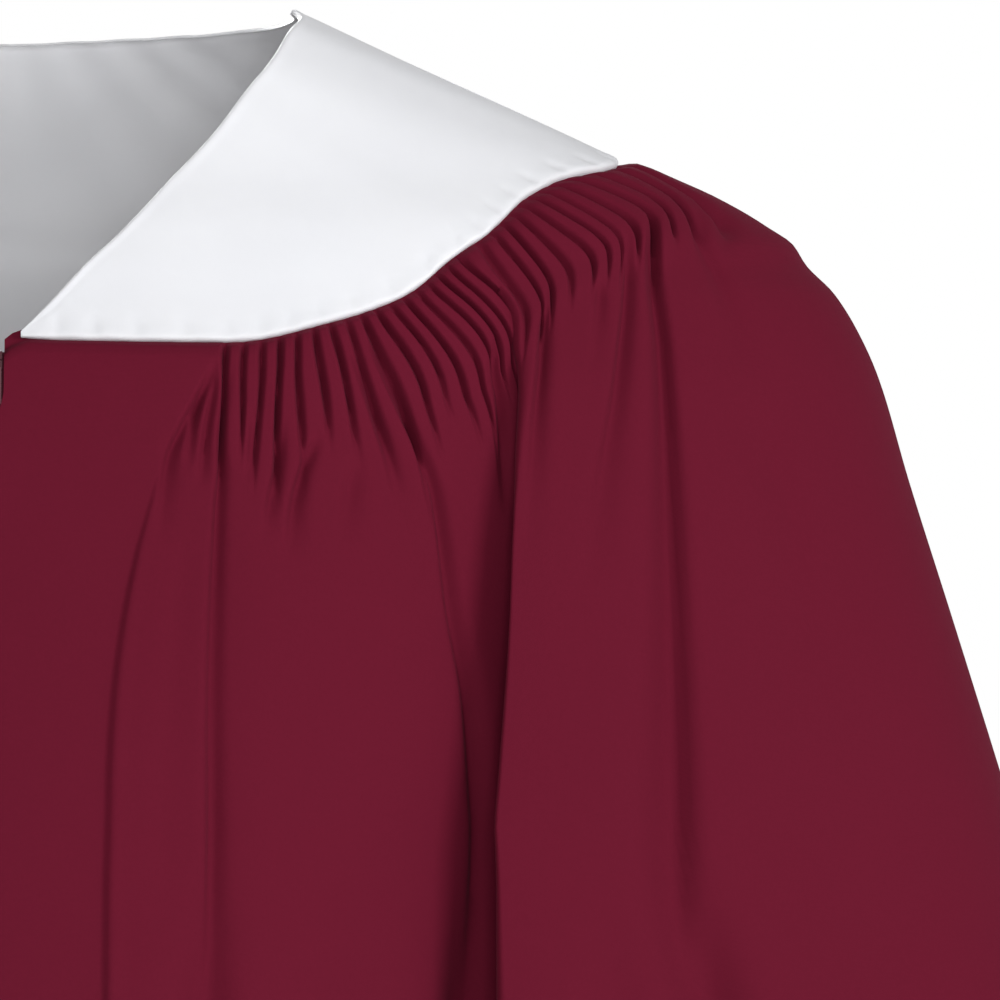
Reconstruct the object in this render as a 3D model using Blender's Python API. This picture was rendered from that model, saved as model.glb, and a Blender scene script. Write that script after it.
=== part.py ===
"""Choir robe as it hangs on the shoulders: satin V-neck yoke, fluted fronts and back, bell sleeves.

Metres, +Z up. The wearer faces -Y and their left is +X. The origin is the middle of the neck's base,
level with the points where the neckline meets the shoulders.
"""

import math

import bmesh
import bpy
import numpy as np
from mathutils import Matrix

# Driving dimensions
HEM_Z = -1.34  # a full-length adult robe, about 1.34 m below the neck
CUFF_Z = -0.62  # the sleeve ends at the wrist
ARMPIT_Z = -0.25
BUST_Z = -0.235  # where the flutes have opened into hanging folds
ZIP_END_Z = -0.66
CLOTH = 0.0014  # maroon cloth wall
SATIN = 0.0018  # satin yoke wall
TAPE = 0.0010  # zip tape wall
TAPE_WIDTH = 0.022
ZIP_TOP_Z = -0.1022
SLIDER_TOP_Z = -0.1024
SLIDER_WIDTH = 0.0034
SLIDER_LENGTH = 0.0050
SLIDER_THICK = 0.0026
LUG_INNER = 0.00105  # from the middle to the inner face of a lug
LUG_LENGTH = 0.0020
PIN_RADIUS = 0.00035
PIN_OUT = 0.0039  # from the slider's back face to the pin that carries the pull tab
PIN_DOWN = 0.0016
PIN_PLAY = 0.0002  # between the pin and the tab's eye
TAB_WIDTH = 0.0030
TAB_LENGTH = 0.0165
TAB_THICK = 0.0008
TAB_NECK = 0.0016  # width of the neck between the eye and the plate, and of the eye
EYE_RADIUS = 0.00105
TAB_LEAN = 5.0  # degrees in from the slope of the chest
SEAM = 0.0003  # the gap at a seam
YOKE_SHIFT = 0.0002  # how far each side stands back from the line of the yoke seam
SIDE_SHIFT = 0.0004  # how far a side edge is cut back along the cloth to open its seam
FLUTE_DEPTH = 0.0012  # from the middle of the wave to its crest
FLUTE_LENGTH = 0.031  # on average, down the cloth from the yoke seam
YOKE_DROP = 0.030  # below the yoke seam, where the pieces have reached their own forms
LIP_FLUTES = 4.6  # the sleeve's flutes that turn back beside the body
CALM_SHARE = 0.46  # flutes past this share of a panel close up towards the raglan seam
STRIP_RECESS = 0.0040  # the plain centre strip lies this far behind the first fold
STRIP_UNITS = 5.0  # the plain strip's width, counted in flutes
FRONT_FLUTES = 20
SLEEVE_FLUTES = 14  # from the raglan seam to the shoulder line, and again behind
BACK_FLUTES = 32  # from the centre back to the raglan seam
FIRST_FLUTE_ANGLE = 15.0  # where the front's flutes begin on the yoke seam, in degrees from the middle
RAGLAN_ANGLE = 37.1  # where the raglan seams leave the yoke seam

# The wearer's form with the arms hanging, as half-ellipses at each height
OUTER_FORM = [  # height, half width, front depth, back depth
    (0.0000, 0.0739, 0.040, 0.057),
    (-0.0200, 0.1174, 0.050, 0.067),
    (-0.0509, 0.1845, 0.063, 0.082),
    (-0.0657, 0.2167, 0.071, 0.088),
    (-0.0702, 0.2240, 0.073, 0.090),
    (-0.0769, 0.2285, 0.076, 0.092),
    (-0.0848, 0.2363, 0.079, 0.095),
    (-0.0988, 0.2447, 0.085, 0.099),
    (-0.1086, 0.2489, 0.089, 0.101),
    (-0.1380, 0.2576, 0.096, 0.104),
    (-0.1772, 0.2700, 0.101, 0.106),
    (-0.2351, 0.2880, 0.104, 0.108),
    (-0.4000, 0.3370, 0.113, 0.116),
    (-0.6200, 0.3950, 0.128, 0.130),
]
BODY_FORM = [  # height, half width, front depth, back depth
    (0.0000, 0.0739, 0.040, 0.057),
    (-0.0200, 0.1174, 0.050, 0.067),
    (-0.0509, 0.1845, 0.063, 0.082),
    (-0.0657, 0.2167, 0.071, 0.088),
    (-0.0702, 0.2240, 0.073, 0.090),
    (-0.0988, 0.2170, 0.085, 0.099),
    (-0.1380, 0.1980, 0.098, 0.107),
    (-0.1770, 0.1860, 0.107, 0.113),
    (-0.2100, 0.1770, 0.113, 0.117),
    (-0.2500, 0.1680, 0.118, 0.120),
    (-0.4000, 0.1700, 0.127, 0.126),
    (-0.6200, 0.2050, 0.150, 0.150),
    (-1.0000, 0.2950, 0.208, 0.215),
    (-1.3400, 0.3700, 0.265, 0.275),
]

# Edges drawn on the form: the angle is 0 at the middle and 90 on the shoulder line
FRONT_YOKE_SEAM = [  # angle, height
    (0.0, -0.0975),
    (4.2, -0.0982),
    (15.5, -0.0988),
    (22.8, -0.0932),
    (28.1, -0.0870),
    (RAGLAN_ANGLE, -0.0702),
    (49.2, -0.0568),
    (61.5, -0.0509),
    (90.0, -0.0464),
]
BACK_YOKE_SEAM = [  # angle, height
    (0.0, -0.1280),
    (8.0, -0.1272),
    (15.5, -0.1235),
    (25.0, -0.1060),
    (RAGLAN_ANGLE, -0.0702),
    (49.2, -0.0568),
    (61.5, -0.0509),
    (90.0, -0.0464),
]
FRONT_NECKLINE = [  # angle, height
    (1.6, -0.0962),
    (7.2, -0.0736),
    (15.8, -0.0509),
    (35.0, -0.0240),
    (60.0, -0.0095),
    (90.0, -0.0037),
]
BACK_NECKLINE = [(0.0, -0.0120), (45.0, -0.0085), (90.0, -0.0037)]  # angle, height
V_FOOT = [(0.0, -0.1015), (0.8, -0.1005), (1.6, -0.0970)]  # the maroon foot of the V: angle, height

RAGLAN = [  # height, angle of the raglan seam on the body form
    (-0.0464, 36.0),
    (-0.0702, RAGLAN_ANGLE),
    (-0.0988, 43.0),
    (-0.1380, 49.5),
    (-0.1770, 57.0),
    (-0.2100, 66.0),
    (-0.2350, 78.0),
    (ARMPIT_Z, 90.0),
    (-0.3200, 90.0),
]
SLEEVE_LIP = [  # height, distance from the middle where the sleeve turns back beside the body
    (-0.0702, 0.1350),
    (-0.0988, 0.1467),
    (-0.1380, 0.1400),
    (-0.1770, 0.1370),
    (-0.2350, 0.1330),
    (-0.4000, 0.1370),
    (-0.6200, 0.1610),
]
ARM_GAP = [  # height, how far the sleeve's inner side stands off the body
    (-0.0702, 0.0004),
    (-0.1100, 0.0018),
    (-0.1500, 0.0040),
    (-0.2000, 0.0060),
    (-0.2500, 0.0080),
    (-0.4000, 0.0110),
    (-0.6200, 0.0150),
]
NOTCH = [  # height, half of the opening between the fronts
    (-0.0900, 0.0022),
    (-0.1125, 0.0022),
    (-0.1215, 0.0006),
    (ZIP_END_Z + 0.02, 0.0006),
    (ZIP_END_Z, 0.00015),
    (HEM_Z, 0.00015),
]

# How the gathered cloth spreads below the flutes: flutes counted from the panel's first one
FRONT_SPREAD = [  # flute, angle at the bust, angle at the hem
    (-STRIP_UNITS, 0.0, 0.0),
    (0.0, 11.0, 8.0),
    (1.0, 20.6, 14.0),
    (9.5, 52.5, 50.0),
    (20.0, 90.0, 90.0),
]
BACK_SPREAD = [(0.0, 0.0, 0.0), (16.0, 42.0, 44.0), (32.0, 90.0, 90.0)]  # same columns
SLEEVE_SPREAD = [  # flute, angle on the outer form at the bust, angle at the cuff
    (0.0, 27.5, 25.0),
    (4.0, 31.0, 27.5),
    (8.0, 41.7, 40.0),
    (11.0, 61.0, 62.0),
    (14.0, 90.0, 90.0),
]

FRONT_FOLDS = [  # flute, depth at the bust, depth at the hem, half width in flutes
    (1.0, 0.0045, 0.030, 0.8),
    (5.3, 0.0006, 0.026, 1.1),
    (9.5, 0.0050, 0.032, 1.0),
    (13.6, 0.0010, 0.028, 1.1),
    (17.3, 0.0000, 0.026, 1.0),
]
BACK_FOLDS = [  # same columns
    (0.0, 0.0030, 0.026, 1.8),
    (6.0, 0.0045, 0.031, 1.7),
    (11.5, 0.0035, 0.027, 1.6),
    (17.0, 0.0045, 0.032, 1.8),
    (22.5, 0.0025, 0.027, 1.6),
    (27.5, 0.0000, 0.026, 1.5),
]
SLEEVE_FOLDS = [  # flute, depth at the bust, depth at the cuff, half width in flutes
    (5.9, 0.0040, 0.010, 0.7),
    (8.0, 0.0075, 0.018, 0.7),
    (10.6, 0.0012, 0.016, 0.6),
    (12.6, 0.0004, 0.014, 0.5),
]

MAROON = (0.118, 0.010, 0.026, 1.0)
WHITE = (0.80, 0.81, 0.86, 1.0)
DARK_MAROON = (0.045, 0.008, 0.014, 1.0)


def smooth_through(table, column=1):
    """A smooth curve through a table's first column and one other, with no overshoot."""
    rows = sorted(table)
    x = np.array([r[0] for r in rows], float)
    y = np.array([r[column] for r in rows], float)
    h = np.diff(x)
    secant = np.diff(y) / h
    slope = np.zeros(len(x))
    slope[0], slope[-1] = secant[0], secant[-1]
    for i in range(1, len(x) - 1):
        if secant[i - 1] * secant[i] > 0:
            a = 2 * h[i] + h[i - 1]
            b = h[i] + 2 * h[i - 1]
            slope[i] = (a + b) / (a / secant[i - 1] + b / secant[i])

    def value(at):
        at = np.clip(np.asarray(at, float), x[0], x[-1])
        i = np.clip(np.searchsorted(x, at) - 1, 0, len(h) - 1)
        s = (at - x[i]) / h[i]
        rise = (1 + 2 * s) * (1 - s) ** 2 * y[i] + s * s * (3 - 2 * s) * y[i + 1]
        return rise + h[i] * s * (1 - s) * ((1 - s) * slope[i] - s * slope[i + 1])

    return value


def ease(x):
    """0 to 1 with soft ends."""
    x = np.clip(x, 0.0, 1.0)
    return x * x * (3 - 2 * x)


def form(table):
    """Half width, front depth and back depth of a form, each a function of height."""
    return [smooth_through(table, column) for column in (1, 2, 3)]


OUTER = form(OUTER_FORM)
BODY = form(BODY_FORM)
RAGLAN_AT = smooth_through(RAGLAN)
LIP_AT = smooth_through(SLEEVE_LIP)
ARM_GAP_AT = smooth_through(ARM_GAP)
NOTCH_AT = smooth_through(NOTCH)


def on_form(shape, angle, z, back):
    """The point of a form at an angle in degrees and a height."""
    a = np.radians(angle)
    depth = shape[2](z) if back else -shape[1](z)
    return np.stack([shape[0](z) * np.sin(a), depth * np.cos(a), z + 0 * a], axis=-1)


def under_yoke(angle, z, drop, back):
    """A point on the outer form at the yoke seam that has moved to the body form a little below it."""
    share = ease(drop / YOKE_DROP)[..., None]
    return on_form(OUTER, angle, z, back) * (1 - share) + on_form(BODY, angle, z, back) * share


def seam_by_flute(seam, first, last, count, back):
    """Angles along a seam for flutes 0 to count, evenly spaced along the cloth."""
    height = smooth_through(seam)
    angle = np.linspace(first, last, 400)
    path = on_form(OUTER, angle, height(angle), back)
    along = np.concatenate([[0], np.cumsum(np.linalg.norm(np.diff(path, axis=0), axis=1))])
    return lambda flute: np.interp(np.asarray(flute) / count * along[-1], along, angle)


def gather_share(z, top):
    """0 at the yoke seam and 1 at the bust: how far the gathered cloth has spread."""
    u = np.clip((top - z) / (top - BUST_Z), 0.0, 1.0)
    return 1 - (1 - u) ** 2


def fold_depth(folds, flute, z, top, end_z):
    """How far the folds press the cloth in."""
    opening = ease((top - z - 0.012) / 0.07)
    falling = np.clip((BUST_Z - z) / (BUST_Z - end_z), 0.0, 1.0)
    total = 0.0
    for place, at_bust, at_end, half_width in folds:
        depth = at_bust * opening + (at_end - at_bust) * falling
        total = total + depth * np.exp(-(((flute - place) / half_width) ** 2))
    return total


def flute_wave(flute, z, top, count):
    """The fine flutes: full at the yoke seam, gone a few centimetres below it, unevenly."""
    length = FLUTE_LENGTH + 0.006 * np.sin(1.9 * flute) + 0.004 * np.sin(0.7 * flute + 1)
    fade = 1 - ease((top - z - 0.004) / length)
    inside = (flute >= -0.01) & (flute <= count + 0.01)
    return np.where(inside, FLUTE_DEPTH * fade * np.cos(2 * np.pi * flute), 0.0)


class Panel:
    """A hanging piece: where each flute's line runs, and how it waves off the smooth form."""

    def __init__(self, seam, spread, folds, count, back, end_z):
        self.top_of = smooth_through(seam)
        self.spread_bust = smooth_through(spread)
        self.spread_end = smooth_through(spread, 2)
        self.folds, self.count, self.back, self.end_z = folds, count, back, end_z

    def spread(self, flute, z):
        low = np.clip((BUST_Z - z) / (BUST_Z - self.end_z), 0.0, 1.0)
        return self.spread_bust(flute) * (1 - low) + self.spread_end(flute) * low


class BodyPanel(Panel):
    """A front or half of the back, from its middle edge to the raglan seam and the side seam."""

    def __init__(self, *args, strip=0.0, first_angle=0.0):
        super().__init__(*args)
        self.strip = strip
        seam = FRONT_YOKE_SEAM if not self.back else BACK_YOKE_SEAM
        self.by_flute = seam_by_flute(seam, first_angle, RAGLAN_ANGLE, self.count, self.back)
        self.first_angle = first_angle

    def seam_angle(self, flute):
        plain = self.first_angle * (flute + self.strip) / max(self.strip, 1e-9)
        return np.where(flute < 0, plain, self.by_flute(np.maximum(flute, 0)))

    def top(self, flute):
        angle = self.seam_angle(flute)
        height = self.top_of(angle) - YOKE_SHIFT
        if self.strip:
            foot = smooth_through(V_FOOT)(angle)
            height = np.where(angle < V_FOOT[-1][0], np.minimum(foot, height), height)
        return height

    def hanging_angle(self, flute, z):
        share = gather_share(z, self.top(flute))
        return self.seam_angle(flute) * (1 - share) + self.spread(flute, z) * share

    def base(self, flute, z):
        drop = self.top(flute) - z
        angle = self.hanging_angle(flute, z)
        # The raglan edge has its own line, and the flutes beside it close up towards it
        last = np.full_like(flute, self.count)
        calm = np.full_like(flute, CALM_SHARE * self.count)
        level = self.top(last) - drop
        edge = self.hanging_angle(last, level)
        held = self.hanging_angle(calm, self.top(calm) - drop)
        closed = held + (angle - held) * (RAGLAN_AT(level) - held) / (edge - held)
        angle = np.where(flute > calm, closed, angle)
        return under_yoke(angle, z, drop, self.back)

    def wave(self, flute, z):
        top = self.top(flute)
        calm = ease((self.count - flute) / 3.0)
        below_cuff = ease((CUFF_Z + 0.02 - z) / 0.35)
        folds = fold_depth(self.folds, flute, z, top, self.end_z)
        folds = folds * (calm + (1 - calm) * below_cuff)
        wave = flute_wave(flute, z, top, self.count) - folds
        if self.strip:
            step = ease((top - z) / YOKE_DROP) * (1 - ease((flute + 0.35) / 0.7))
            wave = wave - STRIP_RECESS * step
        return wave


class SleevePanel(Panel):
    """Half of a sleeve, from the raglan and underarm seams to the line down the arm's outer side."""

    def __init__(self, *args):
        super().__init__(*args)
        seam = FRONT_YOKE_SEAM if not self.back else BACK_YOKE_SEAM
        self.by_flute = seam_by_flute(seam, RAGLAN_ANGLE, 90.0, self.count, self.back)

    def top(self, flute):
        return self.top_of(self.by_flute(flute)) - YOKE_SHIFT

    def over_arm(self, flute, z, drop):
        """The sleeve's outer side, with the flutes near the raglan seam drawn to the lip's line."""
        lip = np.degrees(np.arcsin(np.clip(LIP_AT(z) / OUTER[0](z), 0, 1)))
        low = self.spread(flute, z)
        low = low + (lip - self.spread(np.zeros_like(flute), z)) * np.clip(1 - flute / 8.0, 0, 1)
        share = gather_share(z, z + drop)
        return on_form(OUTER, self.by_flute(flute) * (1 - share) + low * share, z, self.back)

    def beside_body(self, flute, z, drop):
        """The sleeve's inner side, a little off the body, from the raglan seam round to the lip."""
        below_seam = ease(drop / YOKE_DROP)
        seam_angle = RAGLAN_AT(np.minimum(z, self.top(np.zeros_like(flute))))
        lip = np.degrees(np.arcsin(np.clip((LIP_AT(z) + 0.004) / BODY[0](z), 0, 1)))
        turn = ease(flute / 3.4) * below_seam
        angle = seam_angle + (np.minimum(lip, seam_angle) - seam_angle) * turn
        angle = angle + (self.by_flute(flute) - RAGLAN_ANGLE) * (1 - below_seam)
        a = np.radians(angle)
        out = np.stack([np.sin(a), (1 if self.back else -1) * np.cos(a), 0 * a], axis=-1)
        lift = SEAM + (ARM_GAP_AT(z) - SEAM) * ease(flute / 1.2 + ease((BUST_Z - z) / 0.04))
        return under_yoke(angle, z, drop, self.back) + out * lift[..., None]

    def base(self, flute, z):
        drop = self.top(flute) - z
        held = 1.5 * ease((-0.10 - z) / 0.09)  # flutes that lie wholly beside the body
        s = np.clip((flute - held) / (LIP_FLUTES - held), 0, 1)
        share = ((1 - s) ** 2 * (1 + 0.8 * s))[..., None]
        return self.over_arm(flute, z, drop) * (1 - share) + self.beside_body(flute, z, drop) * share

    def wave(self, flute, z):
        top = self.top(flute)
        return flute_wave(flute, z, top, self.count) - fold_depth(self.folds, flute, z, top, self.end_z)


def normals(base, flute, z, side):
    """Outward directions of a smooth surface, from small steps along and down it."""
    step = 0.02
    down = 0.0005
    across = base(flute + step, z) - base(flute - step, z)
    drop = base(flute, z - down) - base(flute, z + down)
    n = np.cross(drop, across) * side
    return n / np.linalg.norm(n, axis=-1, keepdims=True)


def rows_of(panel, columns, shares, side):
    """Outer and inner points of a panel, row by row from the yoke seam down."""
    rows = []
    for flutes, share in zip(columns, shares):
        flute = np.asarray(flutes, float)
        top = panel.top(flute)
        z = top + (panel.end_z - top) * share
        base = panel.base(flute, z)
        n = normals(panel.base, flute, z, side)
        outer = base + n * panel.wave(flute, z)[:, None]
        rows.append((flute, outer, outer - n * CLOTH))
    return rows


def strip_faces(upper, lower, first_upper, first_lower):
    """Triangles and quads between two rows whose points sit at different flutes."""
    faces = []
    i = j = 0
    while i < len(upper) - 1 or j < len(lower) - 1:
        next_upper = upper[i + 1] if i < len(upper) - 1 else math.inf
        next_lower = lower[j + 1] if j < len(lower) - 1 else math.inf
        if abs(next_upper - next_lower) < 1e-6:
            faces.append((first_upper + i, first_lower + j, first_lower + j + 1, first_upper + i + 1))
            i += 1
            j += 1
        elif next_upper < next_lower:
            faces.append((first_upper + i, first_lower + j, first_upper + i + 1))
            i += 1
        else:
            faces.append((first_upper + i, first_lower + j, first_lower + j + 1))
            j += 1
    return faces


def sheet_mesh(name, rows, mirror=False):
    """A closed cloth wall through rows of outer and inner points."""
    firsts = np.concatenate([[0], np.cumsum([len(r[0]) for r in rows])])
    total = int(firsts[-1])
    points = np.concatenate([r[1] for r in rows] + [r[2] for r in rows])
    if mirror:
        points = points * np.array([-1.0, 1.0, 1.0])
    faces = []
    for k in range(len(rows) - 1):
        skin = strip_faces(rows[k][0], rows[k + 1][0], int(firsts[k]), int(firsts[k + 1]))
        faces += skin
        faces += [tuple(i + total for i in reversed(f)) for f in skin]
    top = list(range(int(firsts[1])))
    bottom = list(range(int(firsts[-2]), total))
    left = [int(f) for f in firsts[:-1]]
    right = [int(f) - 1 for f in firsts[1:]]
    for edge in (top, bottom, left, right):
        for a, b in zip(edge, edge[1:]):
            faces.append((a, b, b + total, a + total))
    mesh = bpy.data.meshes.new(name)
    mesh.from_pydata(points.tolist(), [], faces)
    bm = bmesh.new()
    bm.from_mesh(mesh)
    bmesh.ops.recalc_face_normals(bm, faces=bm.faces)
    bm.to_mesh(mesh)
    bm.free()
    mesh.shade_smooth()
    mesh.set_sharp_from_angle(angle=math.radians(50))
    return mesh


def material(name, colour, roughness, metallic=0.0):
    m = bpy.data.materials.new(name)
    m.use_nodes = True
    shader = m.node_tree.nodes["Principled BSDF"]
    shader.inputs["Base Color"].default_value = colour
    shader.inputs["Roughness"].default_value = roughness
    shader.inputs["Metallic"].default_value = metallic
    return m


def add(name, mesh, finish, collection):
    mesh.materials.clear()
    mesh.materials.append(finish)
    obj = bpy.data.objects.new(name, mesh)
    collection.objects.link(obj)
    return obj


def spaced(first, last, count):
    return np.linspace(first, last, count + 1)


FLUTED_DROPS = (0.0, 0.010, 0.021, 0.035)  # heights below the yoke seam of the finely divided rows


def drop_shares(panel, flute, heights):
    """Rows as shares of the way to the end, measured on one flute's line."""
    top = float(panel.top(np.array([flute]))[0])
    upper = [d / (top - panel.end_z) for d in FLUTED_DROPS]
    return upper + [(top - z) / (top - panel.end_z) for z in heights]


def front_rows(panel, side):
    fine = np.concatenate([spaced(-STRIP_UNITS, -1.0, 4)[:-1], [-0.6, -0.2], spaced(0, 20, 40)])
    coarse = [-5.0, -3.4, -1.8, -0.5, -0.1, 0.4, 1.0, 1.6, 2.4]
    coarse = np.array(coarse + [3.6 + 0.8 * k for k in range(20)] + [19.4, 20.0])
    heights = (-0.155, -0.185, BUST_Z, -0.32, -0.46, -0.62, -0.82, -1.08, HEM_Z)
    shares = drop_shares(panel, 0.0, heights)
    columns = [fine] * len(FLUTED_DROPS) + [coarse] * len(heights)
    return rows_of(panel, columns, shares, side)


def both_sides(rows):
    """Rows that run from the middle to the wearer's left, with their mirror image joined on."""
    flip = np.array([-1.0, 1.0, 1.0])
    whole = []
    for place, outer, inner in rows:
        around = np.concatenate([-place[:0:-1], place])
        whole.append(
            (
                around,
                np.concatenate([outer[:0:-1] * flip, outer]),
                np.concatenate([inner[:0:-1] * flip, inner]),
            )
        )
    return whole


def back_rows(panel, side):
    fine = spaced(0, BACK_FLUTES, 2 * BACK_FLUTES)
    coarse = spaced(0, BACK_FLUTES, 29)
    heights = (-0.19, -0.25, -0.34, -0.47, -0.62, -0.82, -1.08, HEM_Z)
    shares = drop_shares(panel, 0.0, heights)
    columns = [fine] * len(FLUTED_DROPS) + [coarse] * len(heights)
    return both_sides(rows_of(panel, columns, shares, side))


def sleeve_rows(front, back):
    fine = spaced(0, SLEEVE_FLUTES, 2 * SLEEVE_FLUTES)
    coarse = [0.0, 0.5, 0.9, 1.3, 1.7, 2.1, 2.6, 3.1, 3.6, 4.2, 5.0, 5.9, 6.7, 7.4, 8.0]
    coarse = np.array(coarse + [8.7, 9.6, 10.6, 11.4, 12.2, 13.1, 14.0])
    heights = (-0.115, -0.15, -0.19, BUST_Z, -0.29, -0.38, -0.50, CUFF_Z)
    shares = drop_shares(front, SLEEVE_FLUTES, heights)
    columns = [fine] * len(FLUTED_DROPS) + [coarse] * len(heights)
    ahead = rows_of(front, columns, shares, 1)
    behind = rows_of(back, columns, shares, -1)
    rows = []
    for (flute, outer, inner), (_, outer_b, inner_b) in zip(ahead, behind):
        crown = (outer[-1:] + outer_b[-1:]) / 2
        crown_in = (inner[-1:] + inner_b[-1:]) / 2
        around = np.concatenate([flute, 2 * SLEEVE_FLUTES - flute[-2::-1]])
        rows.append(
            (
                around,
                np.concatenate([outer[:-1], crown, outer_b[-2::-1]]),
                np.concatenate([inner[:-1], crown_in, inner_b[-2::-1]]),
            )
        )
    return rows


def apart(rows, first_shift, last_shift):
    """Moves the two side edges of a panel in along the cloth, which opens its seams."""
    opened = []
    for flute, outer, inner in rows:
        outer = outer.copy()
        inner = inner.copy()
        for edge, nearby, shift in ((0, 1, first_shift), (-1, -2, last_shift)):
            along = outer[nearby] - outer[edge]
            along = along / np.linalg.norm(along)
            outer[edge] += along * shift
            inner[edge] += along * shift
        opened.append((flute, outer, inner))
    return opened


def open_centre(rows):
    """Cuts the centre front edge back for the zip and the notch at its top."""
    opened = []
    for flute, outer, inner in rows:
        outer = outer.copy()
        inner = inner.copy()
        outer[0, 0] = NOTCH_AT(outer[0, 2])
        inner[0, 0] = NOTCH_AT(outer[0, 2])
        opened.append((flute, outer, inner))
    return opened


def yoke_rows(neckline, seam, back, coarse, fine, across):
    """A yoke's points, in rows from the neckline down to the finely divided seam edge."""
    neck_at = smooth_through(neckline)
    seam_at = smooth_through(seam)

    def surface(angle, z):
        return on_form(OUTER, angle, z, back)

    rows = []
    for share in spaced(0, 1, across):
        angle = fine if share == 1 else coarse
        top = neck_at(np.maximum(angle, neckline[0][0]))
        low = seam_at(angle) + YOKE_SHIFT
        z = top + (low - top) * share
        point = surface(angle, z)
        n = normals(surface, angle, z, -1 if back else 1)
        rows.append((angle, point, point - n * SATIN))
    return rows


def shoulder_gap(rows):
    """Leaves the shoulder seam open by a hair on this side of the shoulder line."""
    opened = []
    for angle, outer, inner in rows:
        sign = np.sign(outer[-2, 1])
        outer = outer.copy()
        inner = inner.copy()
        outer[-1, 1] = sign * SEAM / 2
        inner[-1, 1] = sign * SEAM / 2
        opened.append((angle, outer, inner))
    return opened


def front_panel():
    return BodyPanel(
        FRONT_YOKE_SEAM, FRONT_SPREAD, FRONT_FOLDS, FRONT_FLUTES, False, HEM_Z,
        strip=STRIP_UNITS, first_angle=FIRST_FLUTE_ANGLE,
    )


def back_panel():
    return BodyPanel(BACK_YOKE_SEAM, BACK_SPREAD, BACK_FOLDS, BACK_FLUTES, True, HEM_Z)


def sleeve_panel(back):
    seam = BACK_YOKE_SEAM if back else FRONT_YOKE_SEAM
    return SleevePanel(seam, SLEEVE_SPREAD, SLEEVE_FOLDS, SLEEVE_FLUTES, back, CUFF_Z)


def seam_points(body, sleeve):
    """The yoke edge's own points: one at each flute sewn to it."""
    over_body = body.by_flute(spaced(0, body.count, body.count))
    over_sleeve = sleeve.by_flute(spaced(0, SLEEVE_FLUTES, SLEEVE_FLUTES))
    return np.concatenate([over_body, over_sleeve[1:]])


def yokes(satin, collection):
    fine = np.concatenate([[1.6, 2.6, 4.2, 8.0, 11.5], seam_points(front_panel(), sleeve_panel(False))])
    coarse = np.concatenate([[1.6, 2.6, 4.2], spaced(8.0, 90, 16)])
    front = shoulder_gap(yoke_rows(FRONT_NECKLINE, FRONT_YOKE_SEAM, False, coarse, fine, 4))
    add("yoke_front_left", sheet_mesh("yoke_front_left", front), satin, collection)
    add("yoke_front_right", sheet_mesh("yoke_front_right", front, mirror=True), satin, collection)
    fine = seam_points(back_panel(), sleeve_panel(True))
    half = shoulder_gap(yoke_rows(BACK_NECKLINE, BACK_YOKE_SEAM, True, spaced(0, 90, 16), fine, 5))
    add("yoke_back", sheet_mesh("yoke_back", both_sides(half)), satin, collection)


def tape_rows(front):
    """The zip's strip: the fronts' own inner points by the centre, moved back by a hair."""
    heights = [float(inner[0, 2]) for _, _, inner in front]
    inside = [z for z in heights if ZIP_END_Z < z < ZIP_TOP_Z - 0.002]
    x = np.linspace(-TAPE_WIDTH / 2, TAPE_WIDTH / 2, 7)
    at_x = np.array([np.interp(np.abs(x), inner[:4, 0], inner[:4, 1]) for _, _, inner in front])
    rows = []
    for z in [ZIP_TOP_Z, *inside, ZIP_END_Z]:
        y = np.array([np.interp(-z, [-h for h in heights], column) for column in at_x.T])
        outer = np.stack([x, y + SEAM, np.full_like(x, z)], axis=-1)
        rows.append((x, outer, outer + np.array([0.0, TAPE, 0.0])))
    return rows


def box_mesh(name, low, high):
    bm = bmesh.new()
    bmesh.ops.create_cube(bm, size=1.0)
    low, high = np.array(low), np.array(high)
    for v in bm.verts:
        v.co = [(low[k] + high[k]) / 2 + v.co[k] * (high[k] - low[k]) for k in range(3)]
    mesh = bpy.data.meshes.new(name)
    bm.to_mesh(mesh)
    bm.free()
    return mesh


def bar_mesh(name, radius, half_length, y, z, segments=16):
    """A round bar along X."""
    bm = bmesh.new()
    bmesh.ops.create_cone(
        bm, cap_ends=True, segments=segments, radius1=radius, radius2=radius, depth=2 * half_length
    )
    turn = Matrix.Rotation(math.radians(90), 4, "Y")
    bmesh.ops.transform(bm, matrix=Matrix.Translation((0, y, z)) @ turn, verts=bm.verts)
    mesh = bpy.data.meshes.new(name)
    bm.to_mesh(mesh)
    bm.free()
    return mesh


def combine(obj, mesh, operation, helpers):
    """Joins a helper mesh to an object, or cuts it away."""
    helper = bpy.data.objects.new(obj.name + "_helper", mesh)
    helpers.objects.link(helper)
    helper.parent = obj.parent
    helper.location = obj.location
    helper.rotation_euler = obj.rotation_euler
    helper.hide_render = True
    helper.display_type = "WIRE"
    change = obj.modifiers.new(operation.lower(), "BOOLEAN")
    change.operation = operation
    change.object = helper
    change.solver = "EXACT"


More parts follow.
